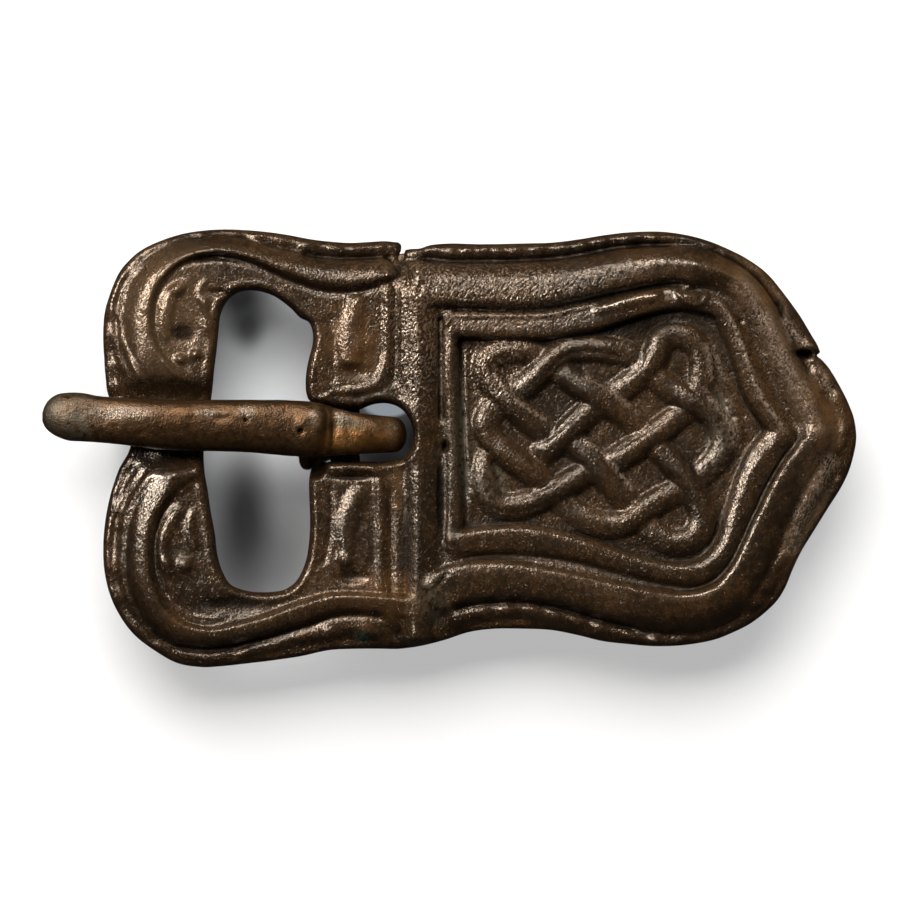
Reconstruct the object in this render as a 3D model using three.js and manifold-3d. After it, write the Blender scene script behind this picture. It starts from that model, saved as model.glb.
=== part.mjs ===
// A cast copper-alloy belt buckle of the lyre-shaped kind: loop and plate in one casting,
// with a hooked tongue on its bar and three roves on the rivet studs behind the plate.
// Millimetres, +Z up out of the face, +X towards the plate's point, the origin under the
// middle of the whole buckle, on the plane of the stud heads.

import * as THREE from "three";
import { mergeVertices } from "three/addons/utils/BufferGeometryUtils.js";
import Module from "manifold-3d";

const wasm = await Module();
wasm.setup();

// Driving dimensions
const bodyLength = 51;
const bodyWidth = 29.6;

// Heights of the casting, up from the stud heads
const headThickness = 0.5;
const roveThickness = 0.8;
const strapThickness = 2.6;
const rimThickness = 1.4;
const rimRound = 0.35;
const fieldRise = 0.8;
const wall = 1.3;
const backRimWidth = 1.5;

// Relief, as heights over the rim or the field
const bandRise = 1.1;
const frameRise = 0.75;
const strandRise = 0.85;
const strandLift = 0.28;
const bossRise = 0.7;
const beadRise = 0.35;
const rimGrooveWidth = 1.25;

// Widths of the relief
const plateBandWidth = 2.7;
const loopBandWidth = 2;
const frameWidth = 1.25;
const lineWidth = 0.6;
const strandWidth = 1.75;
const panelRidgeWidth = 0.9;
const beadDiameter = 0.9;
const beadPitch = 1.3;

// The bar, and the tongue that hooks round it
const barWidth = 2.1;
const barThickness = 1.4;
const saddleDrop = 0.25;
const hookClearance = 0.45;
const hookThickness = 1.6;
const tongueThickness = 2.1;
const tongueRestGap = 0.25;

// Rivet studs and roves
const studDiameter = 2;
const studFlare = 0.8;
const headGrip = 0.3;
const headChamfer = 0.15;
const roveSide = 5;
const roveCorner = 0.7;
const roveHoleClearance = 0.3;
const roveTurns = [7, -11, 4];

// How finely curves are cut, and the overlaps that join and cut solids
const embed = 0.3;
const overrun = 1;
const weld = 0.0001;
const roundSides = 20;
const tongueSides = 14;
const beadSides = 6;
const closedSteps = 1.5;
const openSteps = 1.8;

// The places below are read from the photograph, in its pixels
const loopFrontPixel = 102.5;
const plateTipPixel = 857;
const tongueTipPixel = 43.4;
const topEdgePixel = 229.5;
const bottomEdgePixel = 667;
const middlePixelX = (tongueTipPixel + plateTipPixel) / 2;
const middlePixelY = (topEdgePixel + bottomEdgePixel) / 2;

// The outer edge runs clockwise from the loop front, in stretches that meet at corners
const outlinePixels = [
  [[127, 424], [118, 408], [108, 396], [104, 374], [102.5, 345], [104, 315], [113, 283],
    [130, 259], [150, 245], [180, 234], [225, 229.5], [270, 232.5], [320, 240], [360, 242.5],
    [391, 243.5], [410, 247.5], [430, 245.8], [455, 243.8], [520, 243.5], [570, 240.5],
    [615, 234], [655, 231.8], [695, 237], [730, 250], [760, 267], [790, 301], [812, 335],
    [823, 359]],
  [[823, 359], [840, 386], [852, 411], [857, 440], [851, 468], [834, 499], [811, 537],
    [794, 570], [779, 599], [759, 618], [715, 640], [655, 646], [603, 641], [552, 630],
    [505, 628.5], [469, 632], [421, 646], [370, 649], [329, 650], [272, 660], [205, 667],
    [155, 650], [120, 617], [104, 577], [102.5, 540], [107, 507], [118, 470], [128, 452],
    [131, 438], [127, 424]],
];
const openingPixels = [
  [250, 290.5], [229, 299], [219, 320], [215, 355], [209, 410], [202, 456], [209, 505],
  [215, 550], [225, 580], [258, 592], [290, 586], [305, 563], [310, 518], [309, 480],
  [316, 465], [331, 456], [331, 410], [318, 402], [306.5, 395], [306, 372], [313, 338],
  [304, 320], [278, 299],
];
const tongueHolePixels = [
  [361, 405], [374, 401.5], [394, 404.5], [409, 417.5], [414, 434.5], [410, 451], [398, 459],
  [362, 461],
];
const notchPixels = [[397.5, 236], [404.5, 236], [404, 257], [401, 262], [398, 257]];
const barPixelX = 345;
const barSlotPixels = [[322, 400], [363, 400], [363, 461], [322, 461]];
const saddlePixels = [[96, 397], [214, 397], [214, 454], [96, 454]];
const hookRestPixels = [[300, 446], [331, 446], [331, 473], [300, 473]];
const pocketStartPixelX = 428;

// Crest lines of the relief
const plateBandPixels = [
  [418, 290], [450, 288], [500, 288], [550, 285], [600, 276], [645, 266], [690, 264],
  [725, 274], [750, 293], [768, 318], [783, 347], [797, 378], [813, 408], [828, 438],
  [815, 466], [797, 500], [780, 540], [757, 580], [727, 604], [690, 616], [650, 612],
  [600, 599], [559, 587], [508, 580], [450, 582], [418, 588],
];
const plateLeftBandPixels = [[418, 258], [418, 330], [418, 400], [418, 480], [418, 560], [418, 632]];
const framePixels = [
  [449, 327], [500, 327], [545, 327], [590, 317], [630, 305], [670, 295], [706, 298],
  [727, 316], [742, 347], [757, 380], [775, 414], [787, 437], [772, 449], [757, 468],
  [745, 490], [737, 514], [728, 538], [710, 560], [682, 572], [648, 568], [610, 556],
  [552, 540], [500, 535], [449, 542],
];
const innerLinePixels = [[466, 350], [466, 410], [467, 470], [469, 520]];
const innerRightPixels = [[703, 343], [712, 372], [722, 398], [738, 425], [741, 444]];
const upperBandPixels = [
  [160, 392], [149, 366], [139, 343], [137, 318], [144, 295], [160, 275], [183, 257],
  [215, 248], [250, 251], [275, 261], [305, 270], [340, 274], [390, 267],
];
const lowerBandPixels = [
  [160, 462], [147, 486], [140, 515], [141, 548], [148, 580], [164, 607], [190, 628],
  [220, 634], [247, 630], [275, 621], [310, 610], [350, 603], [390, 602],
];
const loopLinePixels = [
  [[131, 386], [119, 358], [115, 330], [118, 303], [130, 280], [148, 262], [172, 248]],
  [[138, 462], [124, 492], [117, 525], [118, 560], [128, 595], [146, 622], [172, 643]],
];
const innerLipPixels = [
  [[181, 395], [168, 368], [160, 340], [166, 310], [184, 290], [213, 276], [244, 277],
    [275, 290], [300, 304], [322, 318]],
  [[178, 462], [160, 492], [152, 525], [155, 560], [170, 592], [198, 611], [230, 611],
    [262, 602], [292, 595], [318, 585]],
];
const panelRidgePixels = [
  [[386, 266], [387, 320], [386, 370], [368, 390], [330, 392]],
  [[381, 597], [381, 550], [380, 500], [372, 472], [335, 468]],
];
const panelBossPixels = [
  [[368, 300], [356, 318], [348, 345], [347, 360]],
  [[355, 497], [345, 520], [344, 545], [347, 563]],
];
const lobeBossPixels = [
  [[182, 352], [178, 330], [190, 306], [212, 296]],
  [[178, 500], [176, 525], [182, 550], [200, 572]],
];
const beadLinePixels = [
  [[190, 238], [225, 234], [262, 237], [300, 243], [340, 248], [385, 247]],
  [[432, 250], [480, 250], [530, 249.5], [575, 246], [620, 240], [665, 238]],
  [[797, 332], [812, 352], [828, 372], [841, 400]],
  [[837, 470], [820, 500], [805, 525], [790, 555]],
  [[460, 620], [500, 616], [540, 620], [580, 629], [615, 636]],
  [[210, 657], [250, 652], [300, 642], [345, 636]],
];

// The knot: three closed strands, each point with its level, 1 over and -1 under
const knotPixels = [
  [[527, 385, 0.3], [539, 373, 1], [553, 359, 1], [567, 351, 0.4], [585, 349, 0],
    [605, 350, 0], [625, 354, -0.8], [641, 364, -1], [657, 379, -0.3], [671, 390, 0],
    [689, 400, 1], [707, 411, 0.8], [719, 425, 0], [724, 441, 0], [719, 457, 0],
    [707, 471, -0.7], [693, 483, -1], [675, 493, -0.6], [659, 501, 0.2], [643, 511, 1],
    [629, 521, 0.8], [611, 525, 0], [593, 522, 0], [577, 513, -0.6], [563, 502, -1],
    [551, 491, -0.9], [539, 479, 0.2], [521, 465, 1], [503, 451, 0.8], [490, 437, 0],
    [486, 423, 0], [491, 411, -0.7], [503, 401, -1], [515, 392, -0.9]],
  [[543, 431, -0.5], [525, 417, 0.3], [509, 403, 1], [495, 387, 0.6], [486, 373, 0],
    [488, 360, 0], [501, 352, 0], [521, 351, -0.2], [539, 356, -1], [553, 366, -1],
    [569, 378, 0], [587, 390, 1], [607, 403, 0.8], [627, 417, -0.4], [645, 434, -1],
    [663, 453, 0], [677, 468, 0.8], [689, 483, 1], [697, 499, 0.2], [702, 515, 0],
    [699, 531, 0], [687, 541, 0], [671, 542, 0], [657, 534, -0.4], [646, 523, -1],
    [635, 511, -1], [623, 497, -0.2], [607, 478, 0.9], [593, 461, 1], [579, 447, 0],
    [561, 439, -1]],
  [[658, 350, 0.9], [650, 365, 1], [636, 379, 0.3], [620, 391, -0.7], [604, 401, -1],
    [588, 413, 0], [575, 425, 0.9], [561, 439, 1], [546, 451, 0], [532, 461, -3],
    [515, 468, -4], [497, 463, -4], [488, 460, -1], [485, 474, 0], [485, 486, 0],
    [490, 498, 0], [502, 506, 0], [519, 506, 0], [541, 498, 0.8], [561, 488, 1],
    [580, 477, 0.2], [598, 468, -1], [620, 458, 0.3], [638, 446, 1], [660, 431, 0.6],
    [679, 416, -0.5], [692, 404, -1], [700, 389, -0.3], [703, 369, 0], [699, 349, 0],
    [687, 338, 0], [673, 336, 0], [662, 340, 0.4]],
];

// The tongue from its tip to its bend: place, upper and lower edge in the photograph
const tonguePixels = [
  [44, 412, 423], [48, 402, 430], [56, 395, 436], [68, 392.7, 440.5], [82, 393, 441.5],
  [98, 396, 442.5], [125, 398, 445], [160, 399.5, 449.5], [205, 400, 451], [250, 400, 452.5],
  [290, 400.5, 456], [316, 402.5, 457],
];
// Each station's middle height and thickness, as shares of the tongue's own
const tongueLevelShares = [0.62, 0.68, 0.74, 0.8, 0.85, 0.9, 0.95, 0.98, 1, 1, 1, 1];
const tongueThicknessShares = [0.3, 0.62, 0.84, 0.94, 0.97, 0.96, 0.95, 0.97, 0.98, 0.99, 1, 1.06];

// The hook round the bar: its angle, its distance and thickness as shares, its side edges
const hookAngles = [112, 88, 62, 35, 8, -20, -50, -80, -110, -138, -160, -170];
const hookReachShares = [1.05, 1.02, 1.07, 1.2, 1.28, 1.22, 1.08, 1, 1.02, 1.1, 1.2, 1.24];
const hookThicknessShares = [0.97, 0.98, 1.03, 1.1, 1.15, 1.12, 1.04, 1, 0.98, 0.94, 0.8, 0.4];
const hookEdgePixels = [
  [405.5, 456], [409.5, 455], [413, 452], [414, 449.5], [416.5, 447], [418, 447], [419, 449],
  [422, 453], [427, 458], [434, 465], [441, 470], [446, 468],
];
const studPixels = [[420, 287], [420, 597], [792, 438]];

// Heights worked out from the sizes above
const backHeight = headThickness + roveThickness + strapThickness;
const edgeHeight = backHeight + rimThickness;
const fieldHeight = edgeHeight + fieldRise;
const bandHeight = fieldHeight + bandRise;
const frameHeight = fieldHeight + frameRise;
const strandHeight = fieldHeight + strandRise;
const pocketHeight = fieldHeight - wall;
const roveHoleRadius = studDiameter / 2 + roveHoleClearance;
const headRadius = roveHoleRadius + headGrip;
const barHeight = (backHeight + edgeHeight) / 2;
const saddleHeight = fieldHeight - saddleDrop;
const hookReach = barWidth / 2 + hookClearance + hookThickness / 2;
const tongueHeight = saddleHeight + tongueRestGap + tongueThickness / 2;

const millimetresAcross = bodyLength / (plateTipPixel - loopFrontPixel);
const millimetresUp = bodyWidth / (bottomEdgePixel - topEdgePixel);

/** A point of the photograph, in the part's plane. */
function place([pixelX, pixelY]) {
  return new THREE.Vector2(
    (pixelX - middlePixelX) * millimetresAcross,
    (middlePixelY - pixelY) * millimetresUp,
  );
}

/** A smooth closed outline through a list of pixels. */
function closedOutline(pixels) {
  const curve = new THREE.CatmullRomCurve3(crestLine(pixels, 0), true, "centripetal");
  const steps = pixels.length * 2;
  return curve.getSpacedPoints(steps).slice(0, steps).map((point) => new THREE.Vector2(point.x, point.y));
}

/** The outer edge, whose stretches meet at corners. */
function outerOutline() {
  const points = [];
  for (const stretch of outlinePixels) {
    const curve = new THREE.SplineCurve(stretch.map(place));
    points.push(...curve.getPoints(Math.round(stretch.length * openSteps)).slice(0, -1));
  }
  return points;
}

/** A closed outline moved inwards by a distance. */
function inset(points, distance) {
  const turning = Math.sign(THREE.ShapeUtils.area(points));
  return points.map((point, index) => {
    const before = points[(index + points.length - 1) % points.length];
    const after = points[(index + 1) % points.length];
    const along = after.clone().sub(before).normalize();
    return new THREE.Vector2(
      point.x - along.y * distance * turning,
      point.y + along.x * distance * turning,
    );
  });
}

/** A closed geometry as a solid that can be joined and cut. */
function solid(geometry) {
  const bare = geometry.clone();
  bare.deleteAttribute("normal");
  bare.deleteAttribute("uv");
  const merged = mergeVertices(bare, weld);
  return new wasm.Manifold(new wasm.Mesh({
    numProp: 3,
    vertProperties: new Float32Array(merged.attributes.position.array),
    triVerts: new Uint32Array(merged.index.array),
  }));
}

/** A flat slab of an outline, between two heights. */
function slab(outline, bottom, top) {
  const shape = new THREE.Shape(outline);
  const geometry = new THREE.ExtrudeGeometry(shape, { depth: top - bottom, bevelEnabled: false });
  return solid(geometry.translate(0, 0, bottom));
}

/** A solid through a row of rings of points, closed on itself or with flat ends. */
function loft(rings, closed) {
  const sides = rings[0].length;
  const positions = rings.flat().flatMap((point) => [point.x, point.y, point.z]);
  const indices = [];
  const last = closed ? rings.length : rings.length - 1;
  for (let row = 0; row < last; row += 1) {
    const next = (row + 1) % rings.length;
    for (let side = 0; side < sides; side += 1) {
      const beside = (side + 1) % sides;
      const [a, b] = [row * sides + side, row * sides + beside];
      const [c, d] = [next * sides + side, next * sides + beside];
      indices.push(a, b, d, a, d, c);
    }
  }
  if (!closed) {
    const end = (rings.length - 1) * sides;
    for (let side = 1; side < sides - 1; side += 1) {
      indices.push(0, side + 1, side, end, end + side, end + side + 1);
    }
  }
  const geometry = new THREE.BufferGeometry();
  geometry.setAttribute("position", new THREE.Float32BufferAttribute(positions, 3));
  geometry.setIndex(indices);
  return geometry;
}

// Sections of a raised line, from one foot over the crest to the other
const roundShares = [[1, 0], [0.82, 0.6], [0.34, 0.97], [-0.34, 0.97], [-0.82, 0.6], [-1, 0]];
const thinShares = [[1, 0], [0.5, 0.9], [-0.5, 0.9], [-1, 0]];

/** A raised line of a width, whose crest follows points in the part's space. */
function ridge(crest, width, foot, { closed = false, taper = false, thin = false } = {}) {
  const curve = new THREE.CatmullRomCurve3(crest, closed, "centripetal");
  const count = Math.round(crest.length * (closed ? closedSteps : openSteps));
  const shares = thin ? thinShares : roundShares;
  const points = curve.getSpacedPoints(count).slice(0, closed ? count : count + 1);
  const rings = points.map((point, index) => {
    const before = points[closed ? (index + count - 1) % count : Math.max(index - 1, 0)];
    const after = points[closed ? (index + 1) % count : Math.min(index + 1, count)];
    const along = new THREE.Vector2(after.x - before.x, after.y - before.y).normalize();
    const atEnd = taper && (index === 0 || index === points.length - 1);
    const half = (atEnd ? width / 3 : width / 2);
    const top = atEnd ? foot + (point.z - foot) / 2 : point.z;
    return shares.map(([sideShare, riseShare]) => new THREE.Vector3(
      point.x - along.y * half * sideShare,
      point.y + along.x * half * sideShare,
      foot + (top - foot) * riseShare,
    ));
  });
  return solid(loft(rings, closed));
}

/** Pixels as crest points at one height. */
function crestLine(pixels, height) {
  return pixels.map((pixel) => {
    const point = place(pixel);
    return new THREE.Vector3(point.x, point.y, height);
  });
}

/** One strand of the knot, whose level takes it over and under the others. */
function strand(pixels) {
  const crest = pixels.map(([pixelX, pixelY, level]) => {
    const point = place([pixelX, pixelY]);
    return new THREE.Vector3(point.x, point.y, strandHeight + strandLift * level);
  });
  return ridge(crest, strandWidth, pocketHeight + embed, { closed: true });
}

/** Small beads in a row along the rim. */
function beadRow(pixels) {
  const curve = new THREE.CatmullRomCurve3(crestLine(pixels, edgeHeight), false, "centripetal");
  const count = Math.floor(curve.getLength() / beadPitch);
  return curve.getSpacedPoints(count).map((point) => {
    const bead = new THREE.SphereGeometry(beadDiameter / 2, beadSides, beadSides / 2);
    bead.rotateX(Math.PI / 2);
    return solid(bead.translate(point.x, point.y, point.z + beadRise - beadDiameter / 2));
  });
}

/** A rivet stud cast on to the plate, with its peened head. */
function stud([pixelX, pixelY]) {
  const radius = studDiameter / 2;
  const top = pocketHeight + embed;
  const profile = [
    [0, 0],
    [headRadius - headChamfer, 0],
    [headRadius, headChamfer],
    [headRadius, headThickness],
    [radius, headThickness],
    [radius, pocketHeight - studFlare],
    [radius + studFlare, pocketHeight],
    [radius + studFlare, top],
    [0, top],
  ].map(([x, y]) => new THREE.Vector2(x, y));
  const geometry = new THREE.LatheGeometry(profile, roundSides);
  geometry.rotateX(Math.PI / 2);
  const point = place([pixelX, pixelY]);
  return solid(geometry.translate(point.x, point.y, 0));
}

/** A straight-sided cut through an area given in pixels. */
function cut(pixels, bottom, top) {
  return slab(pixels.map(place), bottom, top);
}

/** The bar that the tongue hooks round, across its slot. */
function bar() {
  const [start, , end] = barSlotPixels.map(([, pixelY]) => place([barPixelX, pixelY]));
  const section = new THREE.Shape();
  section.absellipse(0, 0, barWidth / 2, barThickness / 2, 0, Math.PI * 2);
  const length = start.y - end.y + embed * 2;
  const options = { depth: length, bevelEnabled: false, curveSegments: roundSides };
  const geometry = new THREE.ExtrudeGeometry(section, options);
  geometry.rotateX(Math.PI / 2);
  return solid(geometry.translate(start.x, start.y + embed, barHeight));
}

/** Loop and plate, cast in one piece with their relief and their rivet studs. */
function casting() {
  const outline = outerOutline();
  const lowFoot = backHeight + embed;
  const fieldFoot = pocketHeight + embed;
  const tapered = { taper: true };
  const thin = { taper: true, thin: true };
  const raised = [
    slab(inset(outline, rimRound), lowFoot, edgeHeight),
    slab(inset(outline, rimGrooveWidth), lowFoot, fieldHeight),
    ridge(crestLine(plateBandPixels, bandHeight), plateBandWidth, lowFoot),
    ridge(crestLine(plateLeftBandPixels, bandHeight), plateBandWidth, lowFoot, tapered),
    ridge(crestLine(framePixels, frameHeight), frameWidth, fieldFoot),
    ridge(crestLine([framePixels.at(-1), framePixels[0]], frameHeight), frameWidth, fieldFoot),
    ridge(crestLine(innerLinePixels, frameHeight), lineWidth, fieldFoot, thin),
    ridge(crestLine(innerRightPixels, frameHeight), lineWidth, fieldFoot, thin),
    ridge(crestLine(upperBandPixels, bandHeight), loopBandWidth, lowFoot, tapered),
    ridge(crestLine(lowerBandPixels, bandHeight), loopBandWidth, lowFoot, tapered),
    ...loopLinePixels.map((line) => (
      ridge(crestLine(line, fieldHeight + beadRise), lineWidth, lowFoot, thin))),
    ...innerLipPixels.map((line) => ridge(crestLine(line, frameHeight), panelRidgeWidth, lowFoot, thin)),
    ...panelRidgePixels.map((line) => (
      ridge(crestLine(line, frameHeight), panelRidgeWidth, lowFoot, { thin: true }))),
    ...[...panelBossPixels, ...lobeBossPixels].map((line) => (
      ridge(crestLine(line, fieldHeight + bossRise), frameWidth, lowFoot, tapered))),
    ...knotPixels.map(strand),
    ...beadLinePixels.flatMap(beadRow),
  ];
  const plate = slab(outline, backHeight, edgeHeight - rimRound);
  const joined = raised.reduce((whole, piece) => whole.add(piece), plate);

  const above = bandHeight + overrun;
  const below = backHeight - overrun;
  const cuts = [
    slab(closedOutline(openingPixels), below, above),
    slab(closedOutline(tongueHolePixels), below, above),
    cut(barSlotPixels, below, above),
    cut(notchPixels, below, above),
    cut(saddlePixels, saddleHeight, above),
    cut(hookRestPixels, barHeight, above),
    pocket(outline),
  ];
  const hollowed = cuts.reduce((whole, piece) => whole.subtract(piece), joined);
  return studPixels.map(stud).reduce((whole, piece) => whole.add(piece), hollowed.add(bar()));
}

/** The hollow in the plate's back, inside its rim. */
function pocket(outline) {
  const start = place([pocketStartPixelX, middlePixelY]).x;
  const half = bodyWidth / 2;
  const behind = [[start, -half], [bodyLength, -half], [bodyLength, half], [start, half]];
  const limit = slab(behind.map(([x, y]) => new THREE.Vector2(x, y)), backHeight - overrun, pocketHeight);
  const hollow = slab(inset(outline, backRimWidth), backHeight - overrun, pocketHeight);
  return hollow.intersect(limit);
}

/** The tongue's stations from its tip to its hook's end: middle, thickness and side edges. */
function tongueStations() {
  const pivot = place([barPixelX, middlePixelY]);
  const shank = tonguePixels.map(([pixelX, upperPixel, lowerPixel], index) => ({
    x: place([pixelX, middlePixelY]).x,
    z: barHeight + (tongueHeight - barHeight) * tongueLevelShares[index],
    thickness: tongueThickness * tongueThicknessShares[index],
    upper: place([pixelX, upperPixel]).y,
    lower: place([pixelX, lowerPixel]).y,
  }));
  const hook = hookAngles.map((angle, index) => {
    const turn = THREE.MathUtils.degToRad(angle);
    const [upperPixel, lowerPixel] = hookEdgePixels[index];
    return {
      x: pivot.x + hookReach * hookReachShares[index] * Math.cos(turn),
      z: barHeight + hookReach * hookReachShares[index] * Math.sin(turn),
      thickness: hookThickness * hookThicknessShares[index],
      upper: place([barPixelX, upperPixel]).y,
      lower: place([barPixelX, lowerPixel]).y,
    };
  });
  return [...shank, ...hook];
}

/** The tongue: a tapering bar with a collar, hooked round its bar at the rear. */
function tongue() {
  const stations = tongueStations();
  const middles = new THREE.CatmullRomCurve3(
    stations.map(({ x, z, thickness }) => new THREE.Vector3(x, z, thickness)), false, "centripetal");
  const edges = new THREE.CatmullRomCurve3(
    stations.map(({ x, upper, lower }) => new THREE.Vector3(x, upper, lower)), false, "centripetal");
  const count = (stations.length - 1) * 2;
  const rings = Array.from({ length: count + 1 }, (_, index) => {
    const share = index / count;
    const middle = middles.getPoint(share);
    const edge = edges.getPoint(share);
    const along = middles.getTangent(share);
    const normal = new THREE.Vector2(-along.y, along.x).normalize();
    return Array.from({ length: tongueSides }, (_side, side) => {
      const turn = (side / tongueSides) * Math.PI * 2;
      const out = (Math.sin(turn) * middle.z) / 2;
      return new THREE.Vector3(
        middle.x + normal.x * out,
        (edge.y + edge.z) / 2 + (Math.cos(turn) * (edge.y - edge.z)) / 2,
        middle.y + normal.y * out,
      );
    });
  });
  return solid(loft(rings, false));
}

/** A square rove with clipped corners and a hole for its stud. */
function rove(turn) {
  const half = roveSide / 2;
  const short = half - roveCorner;
  const corners = [
    [half, -short], [half, short], [short, half], [-short, half],
    [-half, short], [-half, -short], [-short, -half], [short, -half],
  ].map(([x, y]) => new THREE.Vector2(x, y));
  const shape = new THREE.Shape(corners);
  const hole = new THREE.Path();
  hole.absarc(0, 0, roveHoleRadius, 0, Math.PI * 2);
  shape.holes.push(hole);
  const options = { depth: roveThickness, bevelEnabled: false, curveSegments: roundSides };
  const geometry = new THREE.ExtrudeGeometry(shape, options);
  return geometry.rotateZ(THREE.MathUtils.degToRad(turn));
}

/** A solid back as a geometry for a mesh. */
function geometryOf(shape) {
  const { vertProperties, triVerts } = shape.getMesh();
  const geometry = new THREE.BufferGeometry();
  geometry.setAttribute("position", new THREE.Float32BufferAttribute(vertProperties, 3));
  geometry.setIndex(new THREE.Uint32BufferAttribute(triVerts, 1));
  geometry.computeVertexNormals();
  return geometry;
}

const bronze = new THREE.MeshStandardMaterial({ color: 0x4a3420, roughness: 0.42, metalness: 0.85 });
const roveBronze = new THREE.MeshStandardMaterial({ color: 0x554028, roughness: 0.5, metalness: 0.85 });

function mesh(name, geometry, material) {
  const piece = new THREE.Mesh(geometry, material);
  piece.name = name;
  return piece;
}

const buckle = new THREE.Group();
buckle.add(mesh("loop_and_plate", geometryOf(casting()), bronze));
buckle.add(mesh("tongue", geometryOf(tongue()), bronze));
studPixels.forEach((pixel, index) => {
  const piece = mesh(`rove_${index + 1}`, rove(roveTurns[index]), roveBronze);
  const point = place(pixel);
  piece.position.set(point.x, point.y, headThickness);
  buckle.add(piece);
});

export default buckle;
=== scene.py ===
"""A cast copper-alloy belt buckle: loop and plate in one casting with a knot in relief, its hooked
tongue, and the rivet studs and roves behind the plate. Lengths are millimetres until a mesh is
made, which is in metres."""

import math

import bmesh
import bpy
import numpy as np
from mathutils import Matrix, Vector


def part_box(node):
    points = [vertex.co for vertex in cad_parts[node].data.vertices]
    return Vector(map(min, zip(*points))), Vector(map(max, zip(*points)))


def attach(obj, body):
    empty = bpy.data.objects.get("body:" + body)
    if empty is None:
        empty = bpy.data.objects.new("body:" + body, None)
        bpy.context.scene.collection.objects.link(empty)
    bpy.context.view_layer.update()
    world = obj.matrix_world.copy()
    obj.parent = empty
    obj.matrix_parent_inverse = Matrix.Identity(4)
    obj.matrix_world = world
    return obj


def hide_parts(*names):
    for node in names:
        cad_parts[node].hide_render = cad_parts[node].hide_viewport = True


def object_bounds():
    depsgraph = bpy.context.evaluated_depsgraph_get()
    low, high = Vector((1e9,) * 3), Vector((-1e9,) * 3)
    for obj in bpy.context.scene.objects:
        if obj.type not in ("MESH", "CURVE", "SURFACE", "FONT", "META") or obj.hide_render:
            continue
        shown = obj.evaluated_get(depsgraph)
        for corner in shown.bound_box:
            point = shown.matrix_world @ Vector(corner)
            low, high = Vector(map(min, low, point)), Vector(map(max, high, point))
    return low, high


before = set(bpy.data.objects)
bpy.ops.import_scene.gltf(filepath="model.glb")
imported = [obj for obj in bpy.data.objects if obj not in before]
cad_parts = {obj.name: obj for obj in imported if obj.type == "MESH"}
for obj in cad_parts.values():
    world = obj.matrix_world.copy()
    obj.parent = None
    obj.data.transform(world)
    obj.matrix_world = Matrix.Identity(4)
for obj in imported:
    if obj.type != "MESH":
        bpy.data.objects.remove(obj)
cad_box = [list(corner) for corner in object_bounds()]

MM = 0.001

# The photograph's pixels, set against the casting's own box
FRONT_PIXEL = 102.5
TIP_PIXEL = 857
TOP_PIXEL = 229.5
BOTTOM_PIXEL = 667
casting_low, casting_high = (np.array(corner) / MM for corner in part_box("loop_and_plate"))
PIXEL_ACROSS = (casting_high[0] - casting_low[0]) / (TIP_PIXEL - FRONT_PIXEL)
PIXEL_UP = (casting_high[1] - casting_low[1]) / (BOTTOM_PIXEL - TOP_PIXEL)
PIXEL = (PIXEL_ACROSS + PIXEL_UP) / 2

# Heights over the plane of the stud heads
HEAD_TOP = 0.5
ROVE_THICKNESS = 0.8
BACK = 3.9
RIM = 5.5
FIELD = 6.4
LOOP_CREST = 6.9
FRAME_CREST = 6.72
STRAND_CREST = 6.45
BAND_CREST = 7.0
POCKET = 4.8
SADDLE = 5.85
BAR_HEIGHT = 4.6
HOOK_REST = 4.6
LEFT_BAND_CREST = BAND_CREST - 0.1
FRAME_LEFT_CREST = FRAME_CREST - 0.1
CLEAR_OF_FACE = BAND_CREST + 2

# How finely lines and fields are worked out, in millimetres
RASTER_STEP = 0.06
LINE_STEP = 0.06
LEAST_GAP = 1e-4
RASTER_MARGIN = 0.6
EDGE_REACH = 3.6
DISTANCES_AT_ONCE = 4_000_000
JUST_INSIDE = 1.001
BLUR_PASSES = 3
BLUR_SHARE = 1.7
CLOUD_CELLS = 251
CLOUD_SHIFT = CLOUD_CELLS * 8
CLOUD_TURN = np.array([[0.8, 0.6], [-0.6, 0.8]])

# How the casting is meshed: the sheet's steps and how its border is drawn to the edge, then the parts
# of its thickness that count as its front and back, and how far the back is thinned
MESH_STEP = 0.13
LOOSE_SHARE = -0.35
NEAR_STEPS = 3
SMOOTHINGS = 4
SMOOTHING_SHARE = 0.5
SNAPS = 3
LEAST_STEEPNESS = 0.25
WALL_CUTS = 3
FRONT_LEVEL = 0.9
BEHIND_LEVEL = 0.1
BEHIND_WEIGHT = 8
MOST_TRIANGLES = 190000
MERGE_DISTANCE = 1e-5
TONGUE_MERGE_DISTANCE = 1e-4


def place(pixels):
    """Pixels of the photograph as places on the buckle."""
    pixels = np.asarray(pixels, float)
    across = casting_low[0] + (pixels[..., 0] - FRONT_PIXEL) * PIXEL_ACROSS
    up = casting_high[1] - (pixels[..., 1] - TOP_PIXEL) * PIXEL_UP
    return np.stack([across, up], -1)


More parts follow.
